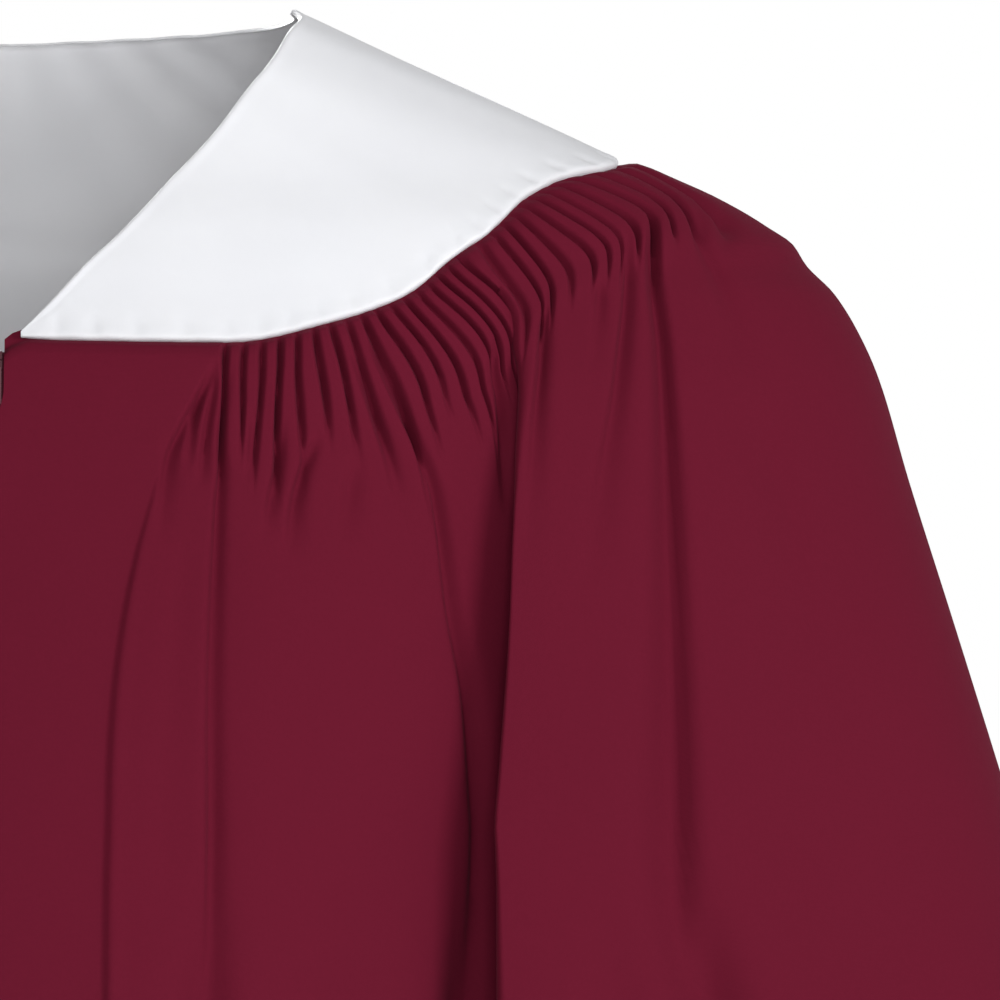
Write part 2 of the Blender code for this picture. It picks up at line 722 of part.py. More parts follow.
def zip_parts(front, cloth, metal, collection, helpers):
    """The zip's strip behind the fronts, its slider in the notch, and the pull tab on its pin."""
    rows = tape_rows(front)
    add("zip_tape", sheet_mesh("zip_tape", rows), cloth, collection)

    # The slider's own axes: X across, Y into the cloth, Z up the slope of the chest
    tape = np.array([outer[3] for _, outer, _ in rows])
    slider_y = float(np.interp(-SLIDER_TOP_Z, -tape[:, 2], tape[:, 1])) - SEAM
    reach = 0.02
    lower_y = float(np.interp(-SLIDER_TOP_Z + reach, -tape[:, 2], tape[:, 1])) - SEAM
    seat = bpy.data.objects.new("zip_seat", None)
    seat.location = (0.0, slider_y - SEAM, SLIDER_TOP_Z)
    seat.rotation_euler = (-math.atan2(slider_y - lower_y, reach), 0.0, 0.0)
    collection.objects.link(seat)

    half = SLIDER_WIDTH / 2
    body = box_mesh("zip_slider", (-half, -SLIDER_THICK, -SLIDER_LENGTH), (half, 0, 0))
    slider = add("zip_slider", body, metal, collection)
    slider.parent = seat
    sunk = 0.0002  # joined shapes run this far into each other
    for side in (-1, 1):
        inner, outer = sorted((side * half, side * LUG_INNER))
        low = (inner, -PIN_OUT - 2 * PIN_RADIUS, -PIN_DOWN - LUG_LENGTH / 2)
        high = (outer, sunk - SLIDER_THICK, -PIN_DOWN + LUG_LENGTH / 2)
        combine(slider, box_mesh("lug", low, high), "UNION", helpers)
    pin = bar_mesh("pin", PIN_RADIUS, LUG_INNER + sunk, -PIN_OUT, -PIN_DOWN)
    combine(slider, pin, "UNION", helpers)

    # The tab's origin is on the pin, and it leans in until its end is near the cloth
    eye = bar_mesh("zip_pull", EYE_RADIUS, TAB_NECK / 2, 0, 0, segments=20)
    tab = add("zip_pull", eye, metal, collection)
    tab.parent = seat
    tab.location = (0.0, -PIN_OUT, -PIN_DOWN)
    tab.rotation_euler = (math.radians(TAB_LEAN), 0.0, 0.0)
    thick = TAB_THICK / 2
    plate_top = -0.0032
    neck = box_mesh("neck", (-TAB_NECK / 2, -thick, plate_top - sunk), (TAB_NECK / 2, thick, -0.0006))
    plate = box_mesh("plate", (-TAB_WIDTH / 2, -thick, -TAB_LENGTH), (TAB_WIDTH / 2, thick, plate_top))
    combine(tab, neck, "UNION", helpers)
    combine(tab, plate, "UNION", helpers)
    combine(tab, bar_mesh("hole", PIN_RADIUS + PIN_PLAY, TAB_WIDTH, 0, 0), "DIFFERENCE", helpers)


def build():
    for obj in list(bpy.data.objects):
        bpy.data.objects.remove(obj)
    collection = bpy.data.collections.new("choir_robe")
    helpers = bpy.data.collections.new("cutters")
    for group in (collection, helpers):
        bpy.context.scene.collection.children.link(group)
    cloth = material("maroon_cloth", MAROON, 0.75)
    satin = material("white_satin", WHITE, 0.35)
    metal = material("zip_metal", DARK_MAROON, 0.4)

    yokes(satin, collection)
    rows = open_centre(apart(front_rows(front_panel(), 1), 0.0, SIDE_SHIFT))
    add("front_left", sheet_mesh("front_left", rows), cloth, collection)
    add("front_right", sheet_mesh("front_right", rows, mirror=True), cloth, collection)
    back = apart(back_rows(back_panel(), -1), SIDE_SHIFT, SIDE_SHIFT)
    add("back", sheet_mesh("back", back), cloth, collection)
    sleeve = apart(sleeve_rows(sleeve_panel(False), sleeve_panel(True)), SIDE_SHIFT, SIDE_SHIFT)
    add("sleeve_left", sheet_mesh("sleeve_left", sleeve), cloth, collection)
    add("sleeve_right", sheet_mesh("sleeve_right", sleeve, mirror=True), cloth, collection)
    zip_parts(rows, cloth, metal, collection, helpers)


build()
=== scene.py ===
"""Choir robe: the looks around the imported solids.

Metres, +Z up. The wearer faces -Y, and their left is +X.
"""

import math

import bmesh
import bpy
import numpy as np
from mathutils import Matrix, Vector


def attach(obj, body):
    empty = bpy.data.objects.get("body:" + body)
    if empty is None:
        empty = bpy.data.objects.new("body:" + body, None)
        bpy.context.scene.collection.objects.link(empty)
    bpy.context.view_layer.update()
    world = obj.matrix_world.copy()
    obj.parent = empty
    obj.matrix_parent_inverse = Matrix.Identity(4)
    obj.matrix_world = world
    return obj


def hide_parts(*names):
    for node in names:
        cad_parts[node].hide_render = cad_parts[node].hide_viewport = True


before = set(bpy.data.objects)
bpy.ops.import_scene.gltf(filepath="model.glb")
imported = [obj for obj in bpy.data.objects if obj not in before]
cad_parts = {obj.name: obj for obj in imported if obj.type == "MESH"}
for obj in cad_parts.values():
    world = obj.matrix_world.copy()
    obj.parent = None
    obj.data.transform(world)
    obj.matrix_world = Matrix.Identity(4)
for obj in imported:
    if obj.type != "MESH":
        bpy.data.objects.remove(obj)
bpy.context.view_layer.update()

# Driving dimensions
HEM_Z = -1.34
CUFF_Z = -0.62
ARMPIT_Z = -0.25
BUST_Z = -0.235
ZIP_TOP_Z = -0.1022
ZIP_END_Z = -0.66
CLOTH = 0.0009
SATIN = 0.0012
SEAM = 0.0003
YOKE_SHIFT = 0.0002
STRIP_RECESS = 0.0016
FRONT_FLUTES = 16
SLEEVE_FLUTES = 13
BACK_FLUTES = 28
RAGLAN_ANGLE = 34.7
YOKE_DROP = 0.03

OUTER_FORM = [  # height, half width, front depth, back depth
    (0.0, 0.0739, 0.04, 0.057), (-0.02, 0.1174, 0.05, 0.067), (-0.0509, 0.1845, 0.063, 0.082),
    (-0.0657, 0.2167, 0.071, 0.088), (-0.0702, 0.224, 0.073, 0.09), (-0.0769, 0.2285, 0.076, 0.092),
    (-0.0848, 0.2363, 0.079, 0.095), (-0.0988, 0.2447, 0.085, 0.099),
    (-0.1086, 0.2489, 0.089, 0.101), (-0.138, 0.2576, 0.096, 0.104), (-0.1772, 0.27, 0.101, 0.106),
    (-0.2351, 0.288, 0.104, 0.108), (-0.4, 0.337, 0.113, 0.116), (-0.62, 0.395, 0.128, 0.13),
]
BODY_FORM = [  # height, half width, front depth, back depth
    (0.0, 0.0739, 0.04, 0.057), (-0.02, 0.1174, 0.05, 0.067), (-0.0509, 0.1845, 0.063, 0.082),
    (-0.0657, 0.2167, 0.071, 0.088), (-0.0702, 0.224, 0.073, 0.09), (-0.0988, 0.217, 0.085, 0.099),
    (-0.138, 0.198, 0.098, 0.107), (-0.177, 0.186, 0.107, 0.113), (-0.21, 0.177, 0.113, 0.117),
    (-0.25, 0.168, 0.118, 0.12), (-0.4, 0.17, 0.127, 0.126), (-0.62, 0.205, 0.15, 0.15),
    (-1.0000, 0.295, 0.208, 0.215), (-1.34, 0.37, 0.265, 0.275),
]
FRONT_YOKE_SEAM = [  # angle, height
    (0.0, -0.0975), (4.2, -0.0982), (15.5, -0.0988),
    (22.8, -0.0932), (28.1, -0.087), (37.1, -0.0702),
    (49.2, -0.0568), (61.5, -0.0509), (90.0, -0.0464),
]
BACK_YOKE_SEAM = [  # angle, height
    (0.0, -0.128), (8.0, -0.1272), (15.5, -0.1235),
    (25.0, -0.106), (37.1, -0.0702), (49.2, -0.0568),
    (61.5, -0.0509), (90.0, -0.0464),
]
FRONT_NECKLINE = [  # angle, height
    (1.6, -0.0962), (7.2, -0.0736), (15.8, -0.0509),
    (35.0, -0.024), (60.0, -0.0095), (90.0, -0.0037),
]
BACK_NECKLINE = [(0.0, -0.012), (45.0, -0.0085), (90.0, -0.0037)]  # angle, height
V_FOOT = [(0.0, -0.1015), (0.8, -0.1005), (1.6, -0.097)]  # angle, height
RAGLAN = [  # height, angle of the raglan seam on the body form
    (-0.0464, 34.0),
    (-0.0744, RAGLAN_ANGLE),
    (-0.0988, 42.0), (-0.138, 49.5), (-0.177, 57.0),
    (-0.21, 66.0), (-0.235, 78.0),
    (ARMPIT_Z, 90.0),
    (-0.32, 90.0),
]
ARM_GAP = [  # height, how far the sleeve's inner side stands off the body
    (-0.0702, 0.0004), (-0.11, 0.0018), (-0.15, 0.004),
    (-0.2, 0.006), (-0.25, 0.008), (-0.4, 0.011),
    (-0.62, 0.015),
]


def smooth_through(table, column=1):
    """A smooth curve through a table's first column and one other, with no overshoot."""
    rows = sorted(table)
    x = np.array([r[0] for r in rows], float)
    y = np.array([r[column] for r in rows], float)
    h = np.diff(x)
    secant = np.diff(y) / h
    slope = np.zeros(len(x))
    slope[0], slope[-1] = secant[0], secant[-1]
    for i in range(1, len(x) - 1):
        if secant[i - 1] * secant[i] > 0:
            a = 2 * h[i] + h[i - 1]
            b = h[i] + 2 * h[i - 1]
            slope[i] = (a + b) / (a / secant[i - 1] + b / secant[i])

    def value(at):
        at = np.clip(np.asarray(at, float), x[0], x[-1])
        i = np.clip(np.searchsorted(x, at) - 1, 0, len(h) - 1)
        s = (at - x[i]) / h[i]
        rise = (1 + 2 * s) * (1 - s) ** 2 * y[i] + s * s * (3 - 2 * s) * y[i + 1]
        return rise + h[i] * s * (1 - s) * ((1 - s) * slope[i] - s * slope[i + 1])

    return value


def ease(x):
    """0 to 1 with soft ends."""
    x = np.clip(x, 0.0, 1.0)
    return x * x * (3 - 2 * x)


def form(table):
    """Half width, front depth and back depth of a form, each a function of height."""
    return [smooth_through(table, column) for column in (1, 2, 3)]


OUTER = form(OUTER_FORM)
BODY = form(BODY_FORM)
RAGLAN_AT = smooth_through(RAGLAN)


def on_form(shape, angle, z, back):
    """The point of a form at an angle in degrees and a height."""
    a = np.radians(angle)
    depth = shape[2](z) if back else -shape[1](z)
    return np.stack([shape[0](z) * np.sin(a), depth * np.cos(a), z + 0 * a], axis=-1)


def under_yoke(angle, z, drop, back):
    """A point on the outer form at the yoke seam that has moved to the body form a little below it."""
    share = ease(drop / YOKE_DROP)[..., None]
    return on_form(OUTER, angle, z, back) * (1 - share) + on_form(BODY, angle, z, back) * share


def angle_at(x, width):
    """The angle at which a half-ellipse of this half width lies this far from the middle."""
    return np.degrees(np.arcsin(np.clip(x / width, -1.0, 1.0)))


def dip(distance, half_width):
    """A soft trough's profile, 1 in its middle."""
    return np.exp(-((distance / half_width) ** 2))


# Where the flutes' valleys meet the yoke seam: whole flutes are valleys
FRONT_PLACES = [  # flute, angle on the seam
    (-5.5, 0.0), (-0.5, 14.6), (0.0, 15.2),
    (3.0, 19.0), (10.0, 27.5),
    (16.0, RAGLAN_ANGLE),
]
SLEEVE_PLACES = [(0.0, RAGLAN_ANGLE), (5.0, 46.0), (9.0, 59.1), (13.0, 90.0)]  # same columns
BACK_PLACES = [(0.0, 0.0), (14.0, 16.6), (28.0, RAGLAN_ANGLE)]  # same columns

# How the gathered cloth spreads below the flutes
FRONT_SPREAD = [  # flute, angle at the bust, angle at the hem
    (-5.5, 0.0, 0.0), (-0.5, 11.0, 8.0), (0.0, 21.0, 14.0),
    (2.0, 24.6, 21.5), (4.0, 30.9, 28.0), (6.0, 41.4, 38.5),
    (8.0, 52.6, 50.0), (16.0, 90.0, 90.0),
]
BACK_SPREAD = [(0.0, 0.0, 0.0), (14.0, 42.0, 44.0), (28.0, 90.0, 90.0)]  # same columns
SLEEVE_SPREAD = [  # flute, angle on the outer form at the bust, angle at the cuff
    (0.0, 29.1, 26.0), (4.5, 30.2, 27.5), (7.0, 34.2, 31.5),
    (9.0, 41.8, 40.0), (11.0, 61.0, 62.0), (13.0, 90.0, 90.0),
]
SLEEVE_TURN = [  # flute, where its line turns down: distance from the middle, drop below the seam
    (0.0, 0.1448, 0.02), (2.0, 0.1546, 0.0204), (3.0, 0.1574, 0.018),
    (4.0, 0.1627, 0.016), (5.0, 0.1688, 0.015), (7.0, 0.1772, 0.0134),
    (9.0, 0.1848, 0.0105), (11.0, 0.1943, 0.0115), (12.0, 0.2033, 0.015),
    (13.0, 0.2167, 0.0193),
]
SLEEVE_EDGE = [  # height, distance from the middle of the sleeve's inner edge, seen from the front
    (-0.085, 0.1425), (-0.1, 0.1462), (-0.138, 0.1448),
    (-0.177, 0.1439), (-0.235, 0.14), (-0.4, 0.14),
    (-0.62, 0.162),
]
LIP_FLUTES = [  # height, the sleeve's flutes that turn back beside the body
    (-0.0744, 1.2), (-0.1, 1.7), (-0.138, 2.6),
    (-0.177, 3.4), (-0.235, 4.4), (-0.62, 4.6),
]

# How far each valley runs down the cloth, in millimetres below the yoke seam
FRONT_REACH = (30, 24, 31, 33, 31, 25, 29, 34, 42, 30, 24, 30, 36, 22, 25, 29, 29)
SLEEVE_REACH = (24, 25, 25, 21, 20, 19, 18, 21, 17, 24, 15, 16, 16, 16)

FRONT_CREASES = [  # each a list of rows: height, distance from the middle, depth, width to either side
    [
        (-0.103, 0.0624, 0.001, 0.0012, 0.0014), (-0.1142, 0.0572, 0.0026, 0.0012, 0.0022),
        (-0.1227, 0.0523, 0.0028, 0.0011, 0.0026), (-0.1311, 0.0485, 0.0026, 0.0011, 0.0028),
        (-0.141, 0.047, 0.0014, 0.0012, 0.003), (-0.155, 0.0462, 0.0, 0.0012, 0.003),
    ],
    [
        (-0.1077, 0.065, 0.0006, 0.0009, 0.0012), (-0.1279, 0.0628, 0.0022, 0.0009, 0.0016),
        (-0.134, 0.063, 0.0025, 0.0009, 0.0019), (-0.1438, 0.0622, 0.0026, 0.001, 0.0022),
        (-0.2004, 0.0605, 0.0028, 0.0013, 0.003), (-0.2354, 0.061, 0.003, 0.0016, 0.0034),
    ],
    [
        (-0.134, 0.0645, 0.0, 0.002, 0.005), (-0.16, 0.0632, 0.0009, 0.0022, 0.007),
        (-0.2354, 0.0625, 0.0014, 0.0026, 0.009),
    ],
    [
        (-0.0937, 0.1016, 0.001, 0.001, 0.0012), (-0.118, 0.1128, 0.0026, 0.001, 0.0018),
        (-0.1408, 0.1226, 0.003, 0.0011, 0.0022), (-0.1763, 0.128, 0.0034, 0.0014, 0.0028),
        (-0.1987, 0.1324, 0.0036, 0.0017, 0.0034), (-0.2354, 0.1358, 0.0038, 0.0022, 0.004),
    ],
    [
        (-0.096, 0.0974, 0.0006, 0.001, 0.0014), (-0.122, 0.1062, 0.0022, 0.0011, 0.0022),
        (-0.133, 0.11, 0.0016, 0.0013, 0.0028), (-0.149, 0.1137, 0.0, 0.0016, 0.0034),
    ],
    [
        (-0.1, 0.14, 0.001, 0.001, 0.0012), (-0.1044, 0.1396, 0.0022, 0.001, 0.0014),
        (-0.117, 0.1412, 0.0024, 0.0011, 0.0018), (-0.13, 0.142, 0.0018, 0.0012, 0.0022),
        (-0.148, 0.1426, 0.0, 0.0014, 0.0026),
    ],
    [
        (-0.124, 0.08, 0.0006, 0.001, 0.0014), (-0.133, 0.079, 0.0027, 0.0011, 0.0018),
        (-0.143, 0.0772, 0.0022, 0.0013, 0.0024), (-0.153, 0.0758, 0.0, 0.0016, 0.003),
    ],
    [
        (-0.125, 0.0905, 0.0, 0.0012, 0.0018), (-0.132, 0.0872, 0.0028, 0.0012, 0.002),
        (-0.14, 0.0846, 0.0031, 0.0013, 0.0024), (-0.148, 0.0832, 0.0023, 0.0015, 0.003),
        (-0.16, 0.0825, 0.0, 0.002, 0.0044),
    ],
    [
        (-0.13, 0.101, 0.0, 0.002, 0.003), (-0.142, 0.099, 0.0018, 0.002, 0.0032),
        (-0.156, 0.0975, 0.0, 0.0026, 0.005),
    ],
    [
        (-0.111, 0.0612, 0.0006, 0.0009, 0.001), (-0.117, 0.06, 0.0019, 0.0009, 0.0012),
        (-0.124, 0.0588, 0.0022, 0.0009, 0.0014), (-0.1327, 0.0579, 0.0017, 0.001, 0.0018),
        (-0.14, 0.0574, 0.0, 0.0012, 0.0022),
    ],
    [
        (-0.115, 0.057, 0.0006, 0.0009, 0.001), (-0.12, 0.0556, 0.0018, 0.0009, 0.0013),
        (-0.1262, 0.0546, 0.0019, 0.001, 0.0016), (-0.136, 0.0534, 0.0, 0.0012, 0.002),
    ],
    [
        (-0.118, 0.072, 0.0, 0.0011, 0.0014), (-0.129, 0.0716, 0.0016, 0.0011, 0.0016),
        (-0.139, 0.0706, 0.0, 0.0014, 0.0022),
    ],
    [
        (-0.15, 0.054, 0.0, 0.003, 0.0034), (-0.17, 0.0515, 0.0006, 0.0034, 0.004),
        (-0.2354, 0.048, 0.0006, 0.005, 0.006),
    ],
]
SLEEVE_CREASES = [  # same rows, on the sleeve's outer side
    [
        (-0.0688, 0.1767, 0.0006, 0.0012, 0.0014), (-0.0803, 0.1774, 0.0028, 0.0014, 0.002),
        (-0.1, 0.1758, 0.003, 0.0016, 0.0026), (-0.1153, 0.1739, 0.0027, 0.0018, 0.0032),
        (-0.1374, 0.1702, 0.002, 0.0024, 0.0046), (-0.17, 0.166, 0.0, 0.004, 0.006),
    ],
    [
        (-0.0626, 0.1842, 0.0006, 0.0014, 0.0012), (-0.073, 0.1845, 0.0036, 0.002, 0.0014),
        (-0.0999, 0.1876, 0.0044, 0.003, 0.0017), (-0.1374, 0.1898, 0.0052, 0.0048, 0.0021),
        (-0.1772, 0.191, 0.0058, 0.0066, 0.0027), (-0.2351, 0.1918, 0.0068, 0.009, 0.004),
    ],
    [
        (-0.085, 0.1556, 0.0008, 0.0012, 0.0012), (-0.093, 0.1538, 0.003, 0.0013, 0.0018),
        (-0.106, 0.1528, 0.0032, 0.0013, 0.0024), (-0.118, 0.1515, 0.0026, 0.0014, 0.003),
        (-0.14, 0.15, 0.001, 0.0018, 0.004), (-0.16, 0.149, 0.0, 0.0022, 0.005),
    ],
    [
        (-0.061, 0.1965, 0.0, 0.002, 0.002), (-0.07, 0.1985, 0.0018, 0.0024, 0.0018),
        (-0.08, 0.203, 0.0016, 0.003, 0.0024), (-0.0904, 0.2069, 0.001, 0.004, 0.0034),
        (-0.11, 0.21, 0.0, 0.006, 0.005),
    ],
    [
        (-0.06, 0.203, 0.0, 0.002, 0.0018), (-0.066, 0.2048, 0.0014, 0.0024, 0.0018),
        (-0.074, 0.2062, 0.0, 0.003, 0.0024),
    ],
    [
        (-0.115, 0.215, 0.0, 0.005, 0.004), (-0.1296, 0.218, 0.0014, 0.006, 0.004),
        (-0.143, 0.2223, 0.0016, 0.007, 0.0046), (-0.1674, 0.2262, 0.001, 0.008, 0.006),
        (-0.195, 0.229, 0.0, 0.009, 0.008),
    ],
    [
        (-0.08, 0.169, 0.0, 0.0012, 0.0014), (-0.086, 0.1694, 0.0016, 0.0014, 0.0018),
        (-0.096, 0.1686, 0.0008, 0.0016, 0.0024), (-0.108, 0.1675, 0.0, 0.002, 0.003),
    ],
]
BACK_CREASES = [  # same rows, on the back
    [
        (-0.15, 0.033, 0.0, 0.0014, 0.003), (-0.17, 0.035, 0.0022, 0.0016, 0.004),
        (-0.235, 0.04, 0.0012, 0.0034, 0.007),
    ],
    [
        (-0.125, 0.076, 0.0, 0.0013, 0.0026), (-0.145, 0.081, 0.0026, 0.0014, 0.0034),
        (-0.19, 0.086, 0.0016, 0.0026, 0.0056), (-0.235, 0.088, 0.0, 0.004, 0.008),
    ],
    [
        (-0.105, 0.113, 0.0, 0.0012, 0.0024), (-0.122, 0.119, 0.0026, 0.0014, 0.0032),
        (-0.16, 0.125, 0.0022, 0.002, 0.005), (-0.21, 0.129, 0.0, 0.0036, 0.007),
    ],
]

FRONT_FOLDS = [  # angle at the bust and hem, depth at the bust and hem, half width at the bust and hem
    (21.0, 14.0, 0.0045, 0.03, 2.5, 4.0), (37.0, 32.0, 0.0008, 0.026, 3.5, 4.7),
    (52.6, 50.0, 0.005, 0.032, 4.4, 4.1), (71.0, 66.0, 0.001, 0.028, 4.2, 4.3),
    (82.0, 79.5, 0.0, 0.026, 3.6, 3.9),
]
BACK_FOLDS = [  # same columns
    (0.0, 0.0, 0.003, 0.026, 4.7, 4.9), (15.5, 16.3, 0.0045, 0.031, 4.6, 4.6),
    (30.0, 31.5, 0.0035, 0.027, 4.3, 4.3), (45.0, 47.0, 0.0045, 0.032, 4.9, 4.9),
    (62.0, 63.0, 0.0025, 0.027, 4.4, 4.5), (77.0, 77.5, 0.0, 0.026, 4.0, 4.2),
]
SLEEVE_FOLDS = [  # the same on the outer form, down to the cuff
    (35.5, 33.0, 0.0025, 0.01, 2.6, 3.2), (41.8, 40.0, 0.0075, 0.018, 2.1, 3.2),
    (58.0, 59.0, 0.0012, 0.016, 4.5, 4.8), (75.5, 76.5, 0.0004, 0.014, 4.5, 4.7),
]


def crease_depth(creases, x, z):
    """How far the listed creases press the cloth in."""
    total = 0.0
    for rows in creases:
        low = min(r[0] for r in rows)
        high = max(r[0] for r in rows)
        path, depth, near, far = (smooth_through(rows, column) for column in (1, 2, 3, 4))
        ends = ease((high + 0.004 - z) / 0.004)
        if min(r[2] for r in rows if r[0] == low) == 0:
            ends = ends * (z > low)
        away = x - path(z)
        total = total + depth(z) * ends * dip(away, np.where(away < 0, near(z), far(z)))
    return total


def fold_depth(folds, angle, z, top, end_z):
    """How far the big hanging folds press the cloth in."""
    opening = ease((top - z - 0.012) / 0.07)
    low = np.clip((BUST_Z - z) / (BUST_Z - end_z), 0.0, 1.0)
    total = 0.0
    for at_bust, at_end, depth, end_depth, width, end_width in folds:
        middle = at_bust * (1 - low) + at_end * low
        spread = width * (1 - low) + end_width * low
        total = total + (depth * opening + (end_depth - depth) * low) * dip(angle - middle, spread)
    return total


class Panel:
    """A hanging piece: where each flute's line runs, and how the cloth stands off the smooth form."""

    def __init__(self, seam, places, spread, reach, creases, folds, count, back, end_z):
        self.top_of = smooth_through(seam)
        self.seam_angle = smooth_through(places)
        self.spread_bust = smooth_through(spread)
        self.spread_end = smooth_through(spread, 2)
        self.reach = reach
        self.creases, self.folds = creases, folds
        self.count, self.back, self.end_z = count, back, end_z

    def spread(self, flute, z):
        low = np.clip((BUST_Z - z) / (BUST_Z - self.end_z), 0.0, 1.0)
        return self.spread_bust(flute) * (1 - low) + self.spread_end(flute) * low

    def start_x(self, flute, z):
        """How far from the middle a flute leaves the yoke seam."""
        return OUTER[0](np.maximum(z, self.top(flute))) * np.sin(np.radians(self.seam_angle(flute)))

    def valley_reach(self, flute):
        """The run of the nearest valley, and the run at this place between two valleys."""
        if self.reach:
            reach = np.array(self.reach) / 1000
        else:
            k = np.arange(self.count + 1)
            reach = 0.025 + 0.006 * np.sin(2.1 * k + 0.6) + 0.004 * np.sin(0.9 * k)
        nearest = reach[np.clip(np.round(flute).astype(int), 0, self.count)]
        return nearest, np.interp(flute, np.arange(self.count + 1), reach)

    def flute_wave(self, flute, drop):
        """The fine flutes: rounded pipes with narrow valleys that fade out unevenly down the cloth."""
        own, between = self.valley_reach(flute)
        rise = 0.42 + 0.58 * ease((drop + 0.0005) / 0.005)
        uneven = 1 + 0.14 * np.sin(2.3 * flute + 1.1) + 0.08 * np.sin(5.1 * flute)
        drift = 0.07 * np.sin(1.7 * flute + 110 * drop) * ease(drop / 0.012)
        t = flute + drift * ease(flute / 0.8) * ease((self.count - flute) / 0.8)
        steep = 1 + 6 * ease(drop / 0.03)  # the wide first fold's side of its valley
        t = np.where(t < 0, np.maximum(t * steep, -0.5), t)
        valley = np.power(np.cos(np.pi * t) ** 2, 2.8 + 4.0 * np.clip(drop / own, 0, 1))
        fade_own = 1 - ease((drop / own - 0.7) / 0.8)
        fade_between = 1 - ease((drop / between - 0.6) / 0.9)
        wave = 0.0012 * fade_between - 0.0032 * valley * fade_own * uneven
        return np.where(flute > -0.5, wave * rise, 0.0012 * fade_between * rise)


class BodyPanel(Panel):
    """A front or half of the back, from its middle edge to the raglan seam and the side seam."""

    strip = False

    def top(self, flute):
        angle = self.seam_angle(flute)
        height = self.top_of(angle) - YOKE_SHIFT
        if self.strip:
            foot = smooth_through(V_FOOT)(angle)
            height = np.where(angle < V_FOOT[-1][0], np.minimum(foot, height), height)
        return height

    def width(self, z, drop):
        share = ease(drop / YOKE_DROP)
        return OUTER[0](z) * (1 - share) + BODY[0](z) * share

    def hanging_angle(self, flute, z):
        top = self.top(flute)
        u = np.clip((top - z) / (top - BUST_Z), 0.0, 1.0)
        power = 2.0 + 0.3 * (1 - ease((flute + 0.5) / 1.5))
        share = 1 - (1 - u) ** power
        goal = BODY[0](np.minimum(z, BUST_Z)) * np.sin(np.radians(self.spread(flute, z)))
        x = self.start_x(flute, z) * (1 - share) + goal * share
        direct = self.spread(flute, z)
        angle = angle_at(x, self.width(z, top - z))
        return angle * (1 - (u >= 1)) + direct * (u >= 1)

    def angle(self, flute, z):
        drop = self.top(flute) - z
        angle = self.hanging_angle(flute, z)
        # The raglan edge has its own line, and the flutes beside it close up towards it
        last = np.full_like(flute, self.count)
        calm = np.full_like(flute, 0.46 * self.count)
        level = self.top(last) - drop
        edge = self.hanging_angle(last, level)
        held = self.hanging_angle(calm, self.top(calm) - drop)
        closed = held + (angle - held) * (RAGLAN_AT(level) - held) / (edge - held)
        return np.where(flute > calm, closed, angle)

    def base(self, flute, z):
        return under_yoke(self.angle(flute, z), z, self.top(flute) - z, self.back)

    def wave(self, flute, z):
        top = self.top(flute)
        angle = self.angle(flute, z)
        x = self.width(z, top - z) * np.sin(np.radians(angle))
        calm = ease((self.count - flute) / 2.5)
        below_cuff = ease((CUFF_Z + 0.02 - z) / 0.35)
        falling = ease((-0.235 - z) / 0.06)
        folds = fold_depth(self.folds, angle, z, top, self.end_z) * (calm + (1 - calm) * below_cuff)
        if not self.back:
            folds = folds * falling
        creases = crease_depth(self.creases, x, z) * (1 - falling)
        wave = self.flute_wave(flute, top - z) - folds - creases * ease((top - z - 0.004) / 0.01)
        drop = top - z
        hollow = ease((drop - 0.008) / 0.01) * (1 - ease((drop - 0.06) / 0.04))
        wave = wave - HOLLOW * hollow * dip(flute - self.count, 0.9)
        if self.strip:
            step = ease((drop - 0.02) / 0.05) * (1 - ease((flute + 0.62) / 0.17))
            low = ease((-0.14 - z) / 0.08)
            wave = wave - STRIP_RECESS * step + 0.0005 * low * dip(flute + 0.44, 0.045)
        return wave


